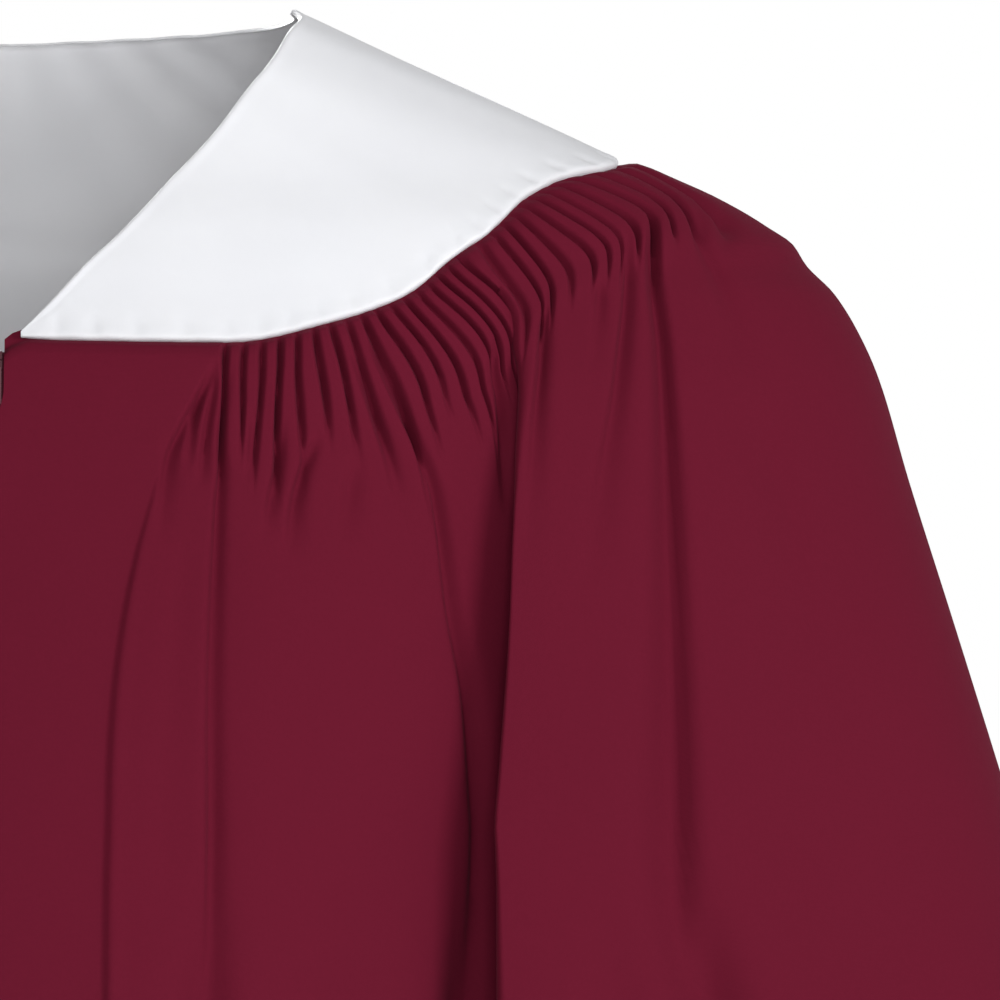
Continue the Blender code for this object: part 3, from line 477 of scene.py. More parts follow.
class SleevePanel(Panel):
    """Half of a sleeve, from the raglan and underarm seams to the line down the arm's outer side."""

    def __init__(self, *args):
        super().__init__(*args)
        self.turn_x = smooth_through(SLEEVE_TURN)
        self.turn_drop = smooth_through(SLEEVE_TURN, 2)
        self.lip_flutes = smooth_through(LIP_FLUTES)
        self.edge_shift = None
        self.edge_shift = self.find_edge_shift()

    def top(self, flute):
        return self.top_of(self.seam_angle(flute)) - YOKE_SHIFT

    def over_angle(self, flute, z):
        """Angles on the outer form: out along the shoulder, a turn, then down the arm."""
        top = self.top(flute)
        t = np.clip((top - z) / self.turn_drop(flute), 0.0, None)
        turned = t / (1 + t ** 6) ** (1 / 6)
        start = self.start_x(flute, z)
        x = start + (self.turn_x(flute) - start) * turned
        turn_z = top - self.turn_drop(flute)
        u = np.clip((turn_z - z) / (turn_z - BUST_Z), 0.0, 1.0)
        share = 1 - (1 - u) ** 1.3
        at_bust = OUTER[0](np.minimum(z, BUST_Z)) * np.sin(np.radians(self.spread(flute, z)))
        return angle_at(x * (1 - share) + at_bust * share, OUTER[0](z))

    def over_arm(self, flute, z):
        crown = 12.0  # past this flute the lines share out the way to the shoulder line evenly
        held = np.minimum(flute, crown)
        angle = self.over_angle(held, z - (self.top(flute) - self.top(held)))
        angle = angle + (90.0 - angle) * np.clip(flute - crown, 0.0, 1.0)
        return on_form(OUTER, angle, z, self.back)

    def beside_body(self, flute, z):
        """The sleeve's inner side, a little off the body, from the raglan seam round to its edge."""
        drop = self.top(flute) - z
        below_seam = ease(drop / YOKE_DROP)
        seam_angle = RAGLAN_AT(np.minimum(z, self.top(np.zeros_like(flute))))
        edge = angle_at(smooth_through(SLEEVE_EDGE)(z) + 0.003, BODY[0](z))
        turn = ease(flute / 3.4) * below_seam
        angle = seam_angle + (np.minimum(edge, seam_angle) - seam_angle) * turn
        angle = angle + (self.seam_angle(flute) - RAGLAN_ANGLE) * (1 - below_seam)
        a = np.radians(angle)
        out = np.stack([np.sin(a), (1 if self.back else -1) * np.cos(a), 0 * a], axis=-1)
        lift = SEAM + (smooth_through(ARM_GAP)(z) - SEAM) * ease(flute / 1.2 + ease((BUST_Z - z) / 0.04))
        return under_yoke(angle, z, drop, self.back) + out * lift[..., None]

    def raw_base(self, flute, z):
        held = 1.5 * ease((-0.12 - z) / 0.09)  # flutes that lie wholly beside the body
        s = np.clip((flute - held) / (self.lip_flutes(z) - held), 0, 1)
        share = ((1 - s) ** 2 * (1 + 0.8 * s))[..., None]
        return self.over_arm(flute, z) * (1 - share) + self.beside_body(flute, z) * share

    def find_edge_shift(self):
        """How far the edge must move at each height to stand where the table has it."""
        heights = np.linspace(CUFF_Z, -0.085, 90)
        flute = np.linspace(0.3, 7.0, 120)
        shift = []
        for z in heights:
            x = self.raw_base(flute, np.full_like(flute, z))[:, 0]
            shift.append(float(smooth_through(SLEEVE_EDGE)(z)) - float(x.min()))
        shift = np.convolve(np.pad(shift, 3, mode="edge"), np.ones(7) / 7, mode="valid")
        return lambda z: np.interp(z, heights, shift) * ease((-0.082 - z) / 0.016)

    def base(self, flute, z):
        point = self.raw_base(flute, z)
        lip = self.lip_flutes(z)
        near = ease(flute / (0.35 * lip)) * (1 - ease((flute - 0.8 * lip) / (0.9 * lip)))
        point[..., 0] += self.edge_shift(z) * near
        return point

    def wave(self, flute, z):
        top = self.top(flute)
        point = self.base(flute, z)
        angle = angle_at(point[..., 0], OUTER[0](z))
        falling = ease((-0.235 - z) / 0.06)
        outer_side = ease((flute - 0.5 * self.lip_flutes(z)) / 0.8)
        creases = crease_depth(self.creases, point[..., 0], z) * (1 - falling)
        folds = fold_depth(self.folds, angle, z, top, self.end_z) * falling
        fuller = 1 + 0.45 * ease((flute - 6) / 4)  # the flutes over the shoulder stand higher
        return self.flute_wave(flute, top - z) * fuller - (creases + folds) * outer_side


def front_panel():
    panel = BodyPanel(
        FRONT_YOKE_SEAM, FRONT_PLACES, FRONT_SPREAD, FRONT_REACH, FRONT_CREASES, FRONT_FOLDS,
        FRONT_FLUTES, False, HEM_Z,
    )
    panel.strip = True
    return panel


def back_panel():
    return BodyPanel(
        BACK_YOKE_SEAM, BACK_PLACES, BACK_SPREAD, None, BACK_CREASES, BACK_FOLDS,
        BACK_FLUTES, True, HEM_Z,
    )


def sleeve_panel(back):
    return SleevePanel(
        BACK_YOKE_SEAM if back else FRONT_YOKE_SEAM, SLEEVE_PLACES, SLEEVE_SPREAD, SLEEVE_REACH,
        SLEEVE_CREASES, SLEEVE_FOLDS, SLEEVE_FLUTES, back, CUFF_Z,
    )


def normals(base, flute, z, side):
    """Outward directions of a smooth surface, from small steps along and down it."""
    step = 0.02
    down = 0.0005
    across = base(flute + step, z) - base(flute - step, z)
    drop = base(flute, z - down) - base(flute, z + down)
    n = np.cross(drop, across) * side
    n = n / np.linalg.norm(n, axis=-1, keepdims=True)
    agrees = (n[1:] * n[:-1]).sum(axis=-1) > 0
    # At a kink a single point's direction can come out reversed
    odd = 1 + np.flatnonzero(~agrees[1:] & ~agrees[:-1])
    n[odd] = n[odd - 1] + n[odd + 1]
    return n / np.linalg.norm(n, axis=-1, keepdims=True)


HOLLOW = 0.0012  # how far the cloth sinks in beside the sleeve's edge
SIDE_CUT = 0.0001  # the side edges stop this far short of their seams
HEM_TURN = 0.025
TOOTH_PITCH = 0.0015
TOOTH_DEPTH = 0.00045
TOOTH_HEIGHT = 0.00034
TAPE = 0.0007
TAPE_GAP = 0.0002
TUCK = 0.0026  # the allowance lies this far in, under the yoke's turned edge


def rows_of(panel, zones, side):
    """Outer and inner points of a panel, row by row from the seam allowance down to the end."""
    rows = []
    reference = float(panel.top(np.array([0.0]))[0])
    for flutes, drops in zones:
        for drop in drops:
            flute = np.asarray(flutes, float)
            top = panel.top(flute)
            z = top + (panel.end_z - top) * drop / (reference - panel.end_z)
            n = normals(panel.base, flute, z, side)
            under = 1 - ease((drop + 0.0012) / 0.003)
            lift = panel.wave(flute, z) * (1 - under) - TUCK * under
            outer = panel.base(flute, z) + n * lift[:, None]
            turned = 1 + 1.2 * ease((panel.end_z + HEM_TURN - z) / 0.002)
            inner = outer - n * (CLOTH * turned)[:, None]
            rows.append((flute, outer, inner, drop))
    return rows


def spaced(first, last, count):
    return np.linspace(first, last, count + 1)


def strip_faces(upper, lower, first_upper, first_lower):
    """Triangles and quads between two rows whose points sit at different flutes."""
    if len(upper) == len(lower) and np.allclose(upper, lower):
        i = np.arange(len(upper) - 1)
        quads = np.stack([first_upper + i, first_lower + i, first_lower + i + 1, first_upper + i + 1], 1)
        return [tuple(q) for q in quads.tolist()]
    faces = []
    i = j = 0
    while i < len(upper) - 1 or j < len(lower) - 1:
        next_upper = upper[i + 1] if i < len(upper) - 1 else math.inf
        next_lower = lower[j + 1] if j < len(lower) - 1 else math.inf
        if abs(next_upper - next_lower) < 1e-6:
            faces.append((first_upper + i, first_lower + j, first_lower + j + 1, first_upper + i + 1))
            i += 1
            j += 1
        elif next_upper < next_lower:
            faces.append((first_upper + i, first_lower + j, first_upper + i + 1))
            i += 1
        else:
            faces.append((first_upper + i, first_lower + j, first_lower + j + 1))
            j += 1
    return faces


def sheet_object(name, rows, finish, mirror=False):
    """A closed cloth wall through rows of points, with its threads' directions as UVs."""
    firsts = np.concatenate([[0], np.cumsum([len(r[0]) for r in rows])])
    total = int(firsts[-1])
    points = np.concatenate([r[1] for r in rows] + [r[2] for r in rows])
    along = []
    for _, outer, _, drop in rows:
        steps = np.linalg.norm(np.diff(outer, axis=0), axis=1)
        u = np.concatenate([[0], np.cumsum(steps)])
        along.append(np.stack([u - u[-1] / 2, np.full_like(u, -drop)], axis=1))
    along = np.concatenate(along * 2)
    if mirror:
        points = points * np.array([-1.0, 1.0, 1.0])
    faces = []
    for k in range(len(rows) - 1):
        skin = strip_faces(rows[k][0], rows[k + 1][0], int(firsts[k]), int(firsts[k + 1]))
        faces += skin
        faces += [tuple(i + total for i in reversed(f)) for f in skin]
    top = list(range(int(firsts[1])))
    bottom = list(range(int(firsts[-2]), total))
    left = [int(f) for f in firsts[:-1]]
    right = [int(f) - 1 for f in firsts[1:]]
    for edge in (top, bottom, left, right):
        for a, b in zip(edge, edge[1:]):
            faces.append((a, b, b + total, a + total))
    mesh = bpy.data.meshes.new(name)
    mesh.from_pydata(points.tolist(), [], faces)
    bm = bmesh.new()
    bm.from_mesh(mesh)
    bmesh.ops.recalc_face_normals(bm, faces=bm.faces)
    bm.to_mesh(mesh)
    bm.free()
    layer = mesh.uv_layers.new(name="thread")
    corners = np.empty(len(mesh.loops), dtype=np.int32)
    mesh.loops.foreach_get("vertex_index", corners)
    layer.data.foreach_set("uv", along[corners].astype(np.float32).ravel())
    mesh.shade_smooth()
    mesh.set_sharp_from_angle(angle=math.radians(70))
    mesh.materials.append(finish)
    obj = bpy.data.objects.new(name, mesh)
    bpy.context.scene.collection.objects.link(obj)
    return obj


# Rows of the hanging pieces: drops below the yoke seam, in three zones of falling fineness
FINE_DROPS = np.concatenate([
    np.array([-4.0, -2.6, -1.4, -0.5, 0.2, 0.9, 1.7, 2.5, 3.4, 4.4, 5.5, 6.7]),
    np.arange(8.0, 50.0, 1.5),
    np.arange(50.0, 70.0, 2.5),
]) / 1000
MIDDLE_DROPS = np.concatenate([np.arange(70.0, 182.0, 4.0), np.arange(184.0, 246.0, 6.0)]) / 1000


def low_drops(top, end_z, step):
    """Rows down to the end, closer together at the edge of the turned hem."""
    length = top - end_z
    plain = np.arange(0.248, length - HEM_TURN - 0.004, step)
    hem = length - HEM_TURN + np.array([-0.0025, -0.001, 0.0, 0.001, 0.0025, 0.01, 0.018])
    return np.concatenate([plain, hem, [length - 0.0006, length]])


def front_rows():
    panel = front_panel()
    fine = np.concatenate([
        spaced(-5.5, -0.7, 14)[:-1], spaced(-0.7, -0.5, 6)[:-1], spaced(-0.5, 0, 24)[:-1],
        spaced(0, FRONT_FLUTES, 16 * 16),
    ])
    middle = np.concatenate([
        spaced(-5.5, -0.7, 9)[:-1], spaced(-0.7, -0.5, 5)[:-1], spaced(-0.5, 0, 24)[:-1],
        spaced(0, FRONT_FLUTES, 16 * 10),
    ])
    low = np.concatenate([
        spaced(-5.5, -0.8, 6)[:-1], spaced(-0.8, -0.5, 3)[:-1], spaced(-0.5, 0, 10)[:-1],
        spaced(0, FRONT_FLUTES, 16 * 4),
    ])
    top = float(panel.top(np.array([0.0]))[0])
    zones = [(fine, FINE_DROPS), (middle, MIDDLE_DROPS), (low, low_drops(top, HEM_Z, 0.012))]
    return rows_of(panel, zones, 1)


def trimmed(rows, first_shift, last_shift):
    """Cuts the side edges back along the cloth by a hair, which opens the seams."""
    opened = []
    for flute, outer, inner, drop in rows:
        outer = outer.copy()
        inner = inner.copy()
        for edge, nearby, shift in ((0, 1, first_shift), (-1, -2, last_shift)):
            along = outer[nearby] - outer[edge]
            along = along / np.linalg.norm(along)
            outer[edge] += along * shift
            inner[edge] += along * shift
        opened.append((flute, outer, inner, drop))
    return opened


NOTCH_AT = smooth_through([
    (-0.09, 0.0022), (-0.1125, 0.0022), (-0.1215, 0.0006),
    (ZIP_END_Z + 0.02, 0.0006),
    (ZIP_END_Z, 0.00015),
    (HEM_Z, 0.00015),
])  # height, half of the opening between the fronts


def open_centre(rows):
    """Cuts the centre front edge back for the zip and the notch at its top."""
    opened = []
    for flute, outer, inner, drop in rows:
        outer = outer.copy()
        inner = inner.copy()
        outer[0, 0] = inner[0, 0] = NOTCH_AT(outer[0, 2])
        opened.append((flute, outer, inner, drop))
    return opened


def both_sides(rows):
    """Rows from the middle to the wearer's left, with their mirror image joined on."""
    flip = np.array([-1.0, 1.0, 1.0])
    return [
        (
            np.concatenate([-flute[:0:-1], flute]),
            np.concatenate([outer[:0:-1] * flip, outer]),
            np.concatenate([inner[:0:-1] * flip, inner]),
            drop,
        )
        for flute, outer, inner, drop in rows
    ]


def back_rows():
    panel = back_panel()
    fine = spaced(0, BACK_FLUTES, 28 * 8)
    middle = spaced(0, BACK_FLUTES, 28 * 4)
    low = spaced(0, BACK_FLUTES, 28 * 2)
    drops = FINE_DROPS[(np.arange(len(FINE_DROPS)) % 2 == 0) | (FINE_DROPS < 0.012)]
    top = float(panel.top(np.array([0.0]))[0])
    zones = [(fine, drops), (middle, MIDDLE_DROPS), (low, low_drops(top, HEM_Z, 0.014))]
    return both_sides(rows_of(panel, zones, -1))


def sleeve_rows():
    front = sleeve_panel(False)
    back = sleeve_panel(True)
    fine = spaced(0, SLEEVE_FLUTES, 13 * 14)
    middle = spaced(0, SLEEVE_FLUTES, 13 * 12)
    low = np.concatenate([spaced(0, 7, 28)[:-1], spaced(7, SLEEVE_FLUTES, 60)])
    top = float(front.top(np.array([0.0]))[0])
    zones = [(fine, FINE_DROPS), (middle, MIDDLE_DROPS), (low, low_drops(top, CUFF_Z, 0.012))]
    rows = []
    for (flute, outer, inner, drop), (_, outer_b, inner_b, _) in zip(
        rows_of(front, zones, 1), rows_of(back, zones, -1)
    ):
        crown = (outer[-1:] + outer_b[-1:]) / 2
        crown_in = (inner[-1:] + inner_b[-1:]) / 2
        rows.append((
            np.concatenate([flute, 2 * SLEEVE_FLUTES - flute[-2::-1]]),
            np.concatenate([outer[:-1], crown, outer_b[-2::-1]]),
            np.concatenate([inner[:-1], crown_in, inner_b[-2::-1]]),
            drop,
        ))
    return rows


def yoke_rows(neckline, seam, back, angles):
    """A yoke's rows from the neckline to its turned lower edge."""
    neck_at = smooth_through(neckline)
    seam_at = smooth_through(seam)
    near_neck = np.array([0, 0.008, 0.018, 0.03, 0.045, 0.062, 0.085, 0.11])
    near_seam = 1 - np.array([
        0.13, 0.105, 0.086, 0.07, 0.056, 0.044, 0.034, 0.025, 0.017, 0.01, 0.004, 0,
    ])
    shares = np.concatenate([near_neck, np.linspace(0.14, 0.85, 26), near_seam])

    def surface(angle, z):
        return on_form(OUTER, angle, z, back)

    top = neck_at(np.maximum(angles, neckline[0][0]))
    low = seam_at(angles) + YOKE_SHIFT
    heights = [top + (low - top) * share for share in shares]
    base = np.array([surface(angles, z) for z in heights])
    n = np.array([normals(surface, angles, z, -1 if back else 1) for z in heights])
    steps = np.linalg.norm(np.diff(base, axis=0), axis=2)
    from_neck = np.concatenate([np.zeros((1, len(angles))), np.cumsum(steps, axis=0)])
    from_seam = from_neck[-1] - from_neck
    across = np.concatenate([[0], np.cumsum(np.linalg.norm(np.diff(base[-1], axis=0), axis=1))])
    room = np.clip(from_neck[-1] / 0.012, 0.15, 1.0)  # narrow ends have a slimmer edge

    d = from_seam / room * 1000
    roll_at = [0, 0.4, 0.9, 1.6, 2.6, 4.0, 6.0, 8.0]
    roll = np.interp(d, roll_at, [-1.0, -0.3, 0.02, 0.14, 0.16, 0.09, 0.02, 0]) / 1000
    swell = 1 + 0.16 * np.sin(across * 2 * np.pi / 0.0113 + 1.3 * np.sin(across * 61))
    pucker = (0.5 + 0.5 * np.sin(across * 2 * np.pi / 0.0107 + 1.7 * np.sin(across * 83) + 0.4)) ** 3
    pucker = pucker * dip(d - 3.4, 3.2) * 0.00055
    e = from_neck / room * 1000
    lip_at = [0, 0.5, 1.2, 2.2, 3.2, 5.0, 7.5]
    lip = np.interp(e, lip_at, [-0.45, 0.02, 0.16, 0.02, -0.12, -0.03, 0]) / 1000
    ripple = 0.00018 * np.sin(across * 150 + from_seam * 60) * np.clip(from_seam / 0.02, 0, 1)
    lift = (roll * swell - pucker + lip + ripple) * room
    outer = base + n * lift[..., None]
    inner = outer - n * SATIN
    return [(angles, outer[k], inner[k], float(from_neck[k].mean())) for k in range(len(shares))]


def shoulder_gap(rows):
    """Leaves the shoulder seam open by a hair on this side of the shoulder line."""
    opened = []
    for angle, outer, inner, drop in rows:
        sign = np.sign(outer[-2, 1])
        outer = outer.copy()
        inner = inner.copy()
        outer[-1, 1] = inner[-1, 1] = sign * SEAM / 2
        opened.append((angle, outer, inner, drop))
    return opened


def flat_cut(rows):
    """The flat cut that a piece's rows measure: its width, length and area."""
    across = np.array([np.linalg.norm(np.diff(r[1], axis=0), axis=1).sum() for r in rows])
    down = []
    for upper, lower in zip(rows, rows[1:]):
        shares = np.linspace(0, 1, 9)
        places = [
            np.stack([np.interp(shares, np.linspace(0, 1, len(r[1])), r[1][:, k]) for k in range(3)], 1)
            for r in (upper, lower)
        ]
        down.append(np.linalg.norm(places[1] - places[0], axis=1).mean())
    down = np.array(down)
    area = float(((across[1:] + across[:-1]) / 2 * down).sum())
    return float(across.max()), float(down.sum()), area


def drawn_together(sleeve, front, back):
    """Draws the sleeve's two side edges to the raglan edges of the front and the back."""
    drawn = []
    edges = [np.array([r[1][-1] for r in rows])[::-1] for rows in (front, back)]
    for flute, outer, inner, drop in sleeve:
        outer = outer.copy()
        inner = inner.copy()
        for index, edge, away in ((0, edges[0], flute), (-1, edges[1], 2 * SLEEVE_FLUTES - flute)):
            z = outer[index, 2]
            goal = np.array([np.interp(z, edge[:, 2], edge[:, k]) for k in range(3)])
            goal[2] = z
            move = (goal - outer[index]) * ease((z - ARMPIT_Z) / 0.03)
            weight = (1 - ease(away / 0.8))[:, None]
            outer += weight * move
            inner += weight * move
        drawn.append((flute, outer, inner, drop))
    return drawn


def make_cloth(maroon, satin):
    """Every cloth piece, by the solid that it stands for, and each one's flat cut."""
    pieces = {}
    cuts = {}

    def add(node_name, rows, finish, mirror=False):
        kind = "satin_" if finish is satin else "cloth_"
        pieces[node_name] = sheet_object(kind + node_name, rows, finish, mirror)
        cuts[node_name] = flat_cut(rows)

    front = open_centre(trimmed(front_rows(), 0.0, SIDE_CUT))
    add("front_left", front, maroon)
    add("front_right", front, maroon, mirror=True)
    back = trimmed(back_rows(), SIDE_CUT, SIDE_CUT)
    add("back", back, maroon)
    sleeve = trimmed(drawn_together(sleeve_rows(), front, back), SIDE_CUT, SIDE_CUT)
    add("sleeve_left", sleeve, maroon)
    add("sleeve_right", sleeve, maroon, mirror=True)
    angles = np.concatenate([np.linspace(1.6, 12, 40)[:-1], np.linspace(12, 90, 190)])
    yoke = shoulder_gap(yoke_rows(FRONT_NECKLINE, FRONT_YOKE_SEAM, False, angles))
    add("yoke_front_left", yoke, satin)
    add("yoke_front_right", yoke, satin, mirror=True)
    yoke = shoulder_gap(yoke_rows(BACK_NECKLINE, BACK_YOKE_SEAM, True, np.linspace(0, 90, 180)))
    add("yoke_back", both_sides(yoke), satin)
    return pieces, cuts, front


def material(name, colour, roughness, metallic=0.0):
    m = bpy.data.materials.new(name)
    m.use_nodes = True
    shader = m.node_tree.nodes["Principled BSDF"]
    shader.inputs["Base Color"].default_value = (*colour, 1.0)
    shader.inputs["Roughness"].default_value = roughness
    shader.inputs["Metallic"].default_value = metallic
    return m


def node(tree, kind, **values):
    """A shader node with its settings and unlinked inputs."""
    made = tree.nodes.new("ShaderNode" + kind)
    for key, value in values.items():
        if hasattr(made, key):
            setattr(made, key, value)
        else:
            made.inputs[key.replace("_", " ")].default_value = value
    return made


def mixed(tree, factor, first, second):
    """Two colours mixed by a factor socket."""
    mix = tree.nodes.new("ShaderNodeMix")
    mix.data_type = "RGBA"
    tree.links.new(factor, mix.inputs["Factor"])
    for socket, colour in ((6, first), (7, second)):
        if isinstance(colour, tuple):
            mix.inputs[socket].default_value = (*colour, 1.0)
        else:
            tree.links.new(colour, mix.inputs[socket])
    return mix.outputs[2]


def woven(tree, thread, twill):
    """A weave's height from the thread directions kept in the mesh's UVs."""
    uv = node(tree, "UVMap", uv_map="thread")
    height = []
    for turn in (0.0, math.pi / 2):
        mapping = node(tree, "Mapping")
        mapping.inputs["Rotation"].default_value = (0.0, 0.0, turn + twill)
        tree.links.new(uv.outputs["UV"], mapping.inputs["Vector"])
        wave = node(tree, "TexWave", wave_type="BANDS", bands_direction="X", wave_profile="SIN")
        wave.inputs["Scale"].default_value = math.pi * 2 / (20 * thread)
        wave.inputs["Distortion"].default_value = 0.6
        wave.inputs["Detail"].default_value = 1.0
        wave.inputs["Detail Scale"].default_value = 1.5
        tree.links.new(mapping.outputs["Vector"], wave.inputs["Vector"])
        height.append(wave.outputs["Fac"])
    both = node(tree, "Math", operation="ADD")
    tree.links.new(height[0], both.inputs[0])
    tree.links.new(height[1], both.inputs[1])
    return both.outputs[0]


def object_noise(tree, scale, detail=3.0, stretch=(1.0, 1.0, 1.0)):
    place = node(tree, "TexCoord")
    mapping = node(tree, "Mapping")
    mapping.inputs["Scale"].default_value = stretch
    tree.links.new(place.outputs["Object"], mapping.inputs["Vector"])
    noise = node(tree, "TexNoise")
    noise.inputs["Scale"].default_value = scale
    noise.inputs["Detail"].default_value = detail
    tree.links.new(mapping.outputs["Vector"], noise.inputs["Vector"])
    return noise.outputs["Fac"]


def bumps(tree, shader, layers):
    """Bump nodes in a chain: height socket, distance in metres, strength."""
    normal = None
    for height, distance, strength in layers:
        bump = node(tree, "Bump")
        bump.inputs["Distance"].default_value = distance
        bump.inputs["Strength"].default_value = strength
        tree.links.new(height, bump.inputs["Height"])
        if normal is not None:
            tree.links.new(normal, bump.inputs["Normal"])
        normal = bump.outputs["Normal"]
    tree.links.new(normal, shader.inputs["Normal"])


def maroon_cloth():
    m = material("maroon_cloth_look", (0.122, 0.0066, 0.0212), 0.82)
    tree = m.node_tree
    shader = tree.nodes["Principled BSDF"]
    shader.inputs["Specular IOR Level"].default_value = 0.06
    shader.inputs["Sheen Weight"].default_value = 0.06
    shader.inputs["Sheen Roughness"].default_value = 0.45
    shader.inputs["Sheen Tint"].default_value = (0.8, 0.2, 0.32, 1.0)
    broad = object_noise(tree, 14.0, 2.0)
    fine = object_noise(tree, 900.0, 2.0)
    tone = mixed(tree, broad, (0.116, 0.0061, 0.02), (0.128, 0.0071, 0.0224))
    speck = mixed(tree, fine, (0.106, 0.0056, 0.0182), (0.138, 0.0076, 0.0242))
    blend = node(tree, "Mix", data_type="RGBA")
    blend.inputs["Factor"].default_value = 0.4
    tree.links.new(tone, blend.inputs[6])
    tree.links.new(speck, blend.inputs[7])
    tree.links.new(blend.outputs[2], shader.inputs["Base Color"])
    weave = woven(tree, 0.00034, 0.0)
    slub = object_noise(tree, 260.0, 3.0, (1.0, 1.0, 0.25))
    soft = object_noise(tree, 60.0, 2.0)
    bumps(tree, shader, [(soft, 0.0006, 0.5), (slub, 0.0001, 0.5), (weave, 0.00004, 0.5)])
    return m


def white_satin():
    m = material("white_satin_look", (0.87, 0.88, 0.92), 0.36)
    tree = m.node_tree
    shader = tree.nodes["Principled BSDF"]
    shader.inputs["Specular IOR Level"].default_value = 0.35
    shader.inputs["Sheen Weight"].default_value = 0.08
    shader.inputs["Subsurface Weight"].default_value = 0.45
    shader.inputs["Subsurface Radius"].default_value = (1.0, 1.0, 1.0)
    shader.inputs["Subsurface Scale"].default_value = 0.004
    broad = object_noise(tree, 30.0, 2.0)
    tone = mixed(tree, broad, (0.845, 0.855, 0.905), (0.885, 0.892, 0.932))
    tree.links.new(tone, shader.inputs["Base Color"])
    weave = woven(tree, 0.00022, math.radians(32))
    soft = object_noise(tree, 75.0, 2.0)
    bumps(tree, shader, [(soft, 0.0005, 0.4), (weave, 0.00002, 0.35)])
    return m


def zip_tape_look():
    m = material("zip_tape_look", (0.06, 0.0055, 0.013), 0.85)
    tree = m.node_tree
    shader = tree.nodes["Principled BSDF"]
    shader.inputs["Specular IOR Level"].default_value = 0.2
    fine = object_noise(tree, 1500.0, 2.0, (1.0, 1.0, 0.3))
    tone = mixed(tree, fine, (0.048, 0.0045, 0.011), (0.072, 0.0065, 0.016))
    tree.links.new(tone, shader.inputs["Base Color"])
    bumps(tree, shader, [(woven(tree, 0.0006, math.radians(45)), 0.00008, 0.7)])
    return m


def zip_metal_look():
    m = material("zip_metal_look", (0.05, 0.01, 0.016), 0.42, 0.55)
    tree = m.node_tree
    shader = tree.nodes["Principled BSDF"]
    worn = object_noise(tree, 700.0, 4.0)
    tone = mixed(tree, worn, (0.04, 0.008, 0.013), (0.075, 0.018, 0.026))
    tree.links.new(tone, shader.inputs["Base Color"])
    bumps(tree, shader, [(worn, 0.00003, 0.4)])
    return m


def floor_look():
    m = material("pale_floor", (0.86, 0.86, 0.87), 0.8)
    tree = m.node_tree
    tone = mixed(tree, object_noise(tree, 3.0, 3.0), (0.84, 0.84, 0.85), (0.88, 0.88, 0.89))
    tree.links.new(tone, tree.nodes["Principled BSDF"].inputs["Base Color"])
    return m


LIGHTS = [  # name, power, size, place
    ("key", 44.0, 1.2, (2.3, -1.9, 0.45)),
    ("front", 37.0, 1.0, (0.15, -3.2, 0.05)),
    ("behind", 70.0, 1.6, (-1.2, 3.0, 1.0)),
]


def backdrop_look():
    """Plain white, seen by the camera alone."""
    m = bpy.data.materials.new("white_backdrop")
    m.use_nodes = True
    shader = m.node_tree.nodes["Principled BSDF"]
    shader.inputs["Base Color"].default_value = (0.0, 0.0, 0.0, 1.0)
    shader.inputs["Specular IOR Level"].default_value = 0.0
    shader.inputs["Emission Color"].default_value = (1.0, 1.0, 1.0, 1.0)
    shader.inputs["Emission Strength"].default_value = 1.0
    return m


def studio():
    """The pale floor, soft light, and the camera at the photograph's angle."""
    scene = bpy.context.scene
    scene.view_settings.view_transform = "Standard"
    world = bpy.data.worlds.new("white_room")
    world.use_nodes = True
    world.node_tree.nodes["Background"].inputs["Color"].default_value = (1.0, 1.0, 1.0, 1.0)
    world.node_tree.nodes["Background"].inputs["Strength"].default_value = 0.38
    scene.world = world

    bpy.ops.mesh.primitive_uv_sphere_add(segments=48, ring_count=24, radius=60.0)
    backdrop = bpy.context.object
    backdrop.name = "backdrop"
    backdrop.data.materials.append(backdrop_look())
    for ray in ("diffuse", "glossy", "transmission", "shadow"):
        setattr(backdrop, "visible_" + ray, False)

    bpy.ops.mesh.primitive_plane_add(size=14.0, location=(0, 0, -1.5))
    floor = bpy.context.object
    floor.name = "floor"
    floor.data.materials.append(floor_look())

    for name, power, size, place in LIGHTS:
        light = bpy.data.lights.new(name, "AREA")
        light.energy = power
        light.size = size
        lamp = bpy.data.objects.new(name, light)
        lamp.location = place
        aim = Vector((0.1, -0.05, -0.2)) - lamp.location
        lamp.rotation_euler = aim.to_track_quat("-Z", "Y").to_euler()
        scene.collection.objects.link(lamp)

    camera = bpy.data.cameras.new("camera")
    camera.sensor_width = 36.0
    camera.lens = 643.0
    camera.clip_end = 200.0
    view = bpy.data.objects.new("camera", camera)
    view.location = (0.1411, -5.09, -0.1436)
    view.rotation_euler = (math.radians(90), 0.0, 0.0)
    scene.collection.objects.link(view)
    scene.camera = view


def tape_object(front, finish):
    """The zip's tape, behind the fronts' centre edges."""
    inside = [r for r in front if ZIP_END_Z < r[2][0, 2] < ZIP_TOP_Z - 0.001]
    x = np.linspace(-0.011, 0.011, 23)
    rows = []
    heights = [ZIP_TOP_Z] + [float(r[2][0, 2]) for r in inside] + [ZIP_END_Z]
    depth = []
    for r in inside:
        inner = r[2][:8]
        depth.append(np.interp(np.abs(x), inner[:, 0], inner[:, 1]))
    depth = [depth[0]] + depth + [depth[-1]]
    for z, y in zip(heights, depth):
        weft = 0.00008 * np.cos(x / 0.011 * math.pi * 3)
        outer = np.stack([x, y + SEAM + TAPE_GAP + weft, np.full_like(x, z)], axis=-1)
        rows.append((x * 1000, outer, outer + np.array([0.0, TAPE, 0.0]), float(-z)))
    return sheet_object("cloth_zip_tape", rows, finish), flat_cut(rows)


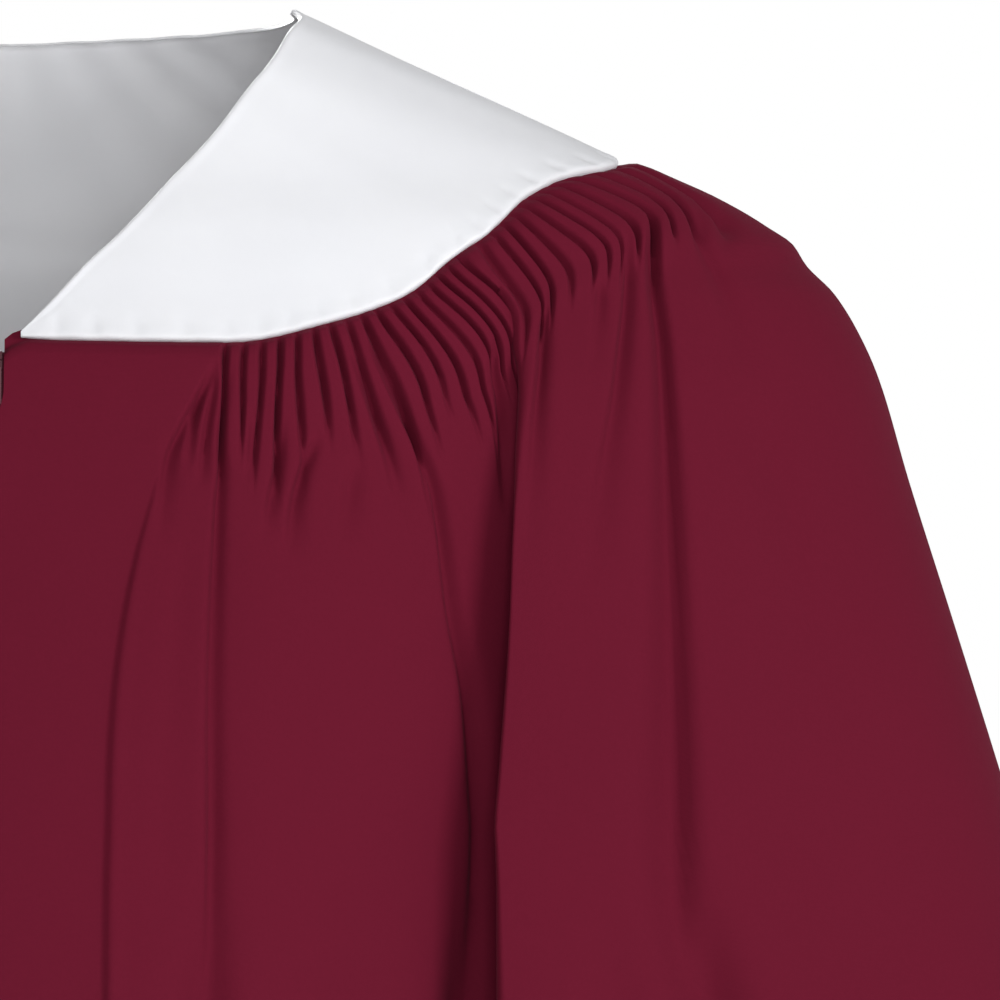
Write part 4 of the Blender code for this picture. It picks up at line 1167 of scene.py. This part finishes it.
def teeth_object(front, finish):
    """The zip's teeth: small rounded links that meet in turn behind the tape."""
    inside = [r for r in front if ZIP_END_Z < r[2][0, 2] < ZIP_TOP_Z - 0.001]
    heights = np.array([r[2][0, 2] for r in inside])[::-1]
    depths = np.array([r[2][0, 1] for r in inside])[::-1] + SEAM + TAPE_GAP + TAPE + 0.00042
    around = np.linspace(0, 2 * math.pi, 8, endpoint=False) + math.pi / 8
    verts, faces = [], []
    for side, start in ((1, 0.0), (-1, TOOTH_PITCH / 2)):
        for z in np.arange(ZIP_TOP_Z - 0.004 - start, ZIP_END_Z + 0.004, -TOOTH_PITCH):
            y = float(np.interp(z, heights, depths))
            first = len(verts)
            for across, size in ((-0.0006, 0.62), (-0.0003, 1.0), (0.001, 0.92), (0.0015, 0.6)):
                for a in around:
                    out = TOOTH_DEPTH * size * math.cos(a)
                    up = TOOTH_HEIGHT * size * math.sin(a)
                    verts.append((side * across, y + out, z + up))
            made = [list(range(first + 7, first - 1, -1)), list(range(first + 24, first + 32))]
            for ring in range(3):
                low = first + 8 * ring
                for j in range(8):
                    k = (j + 1) % 8
                    made.append([low + j, low + k, low + 8 + k, low + 8 + j])
            faces += made if side > 0 else [face[::-1] for face in made]
    mesh = bpy.data.meshes.new("zip_teeth")
    mesh.from_pydata(verts, [], faces)
    mesh.materials.append(finish)
    teeth = bpy.data.objects.new("zip_teeth", mesh)
    bpy.context.scene.collection.objects.link(teeth)
    return teeth


maroon = maroon_cloth()
satin = white_satin()
tape_look = zip_tape_look()
metal = zip_metal_look()
pieces, cuts, front = make_cloth(maroon, satin)
pieces["zip_tape"], cuts["zip_tape"] = tape_object(front, tape_look)
for node_name, piece in pieces.items():
    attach(piece, "robe")
    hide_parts(node_name)
    is_satin = node_name.startswith("yoke")
    slot = "white_satin" if is_satin else "zip_tape" if node_name == "zip_tape" else "maroon_cloth"
teeth = teeth_object(front, metal)
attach(teeth, "robe")
for node_name in ("zip_slider", "zip_pull"):
    for slot in bpy.data.objects[node_name].material_slots:
        slot.material = metal

studio()
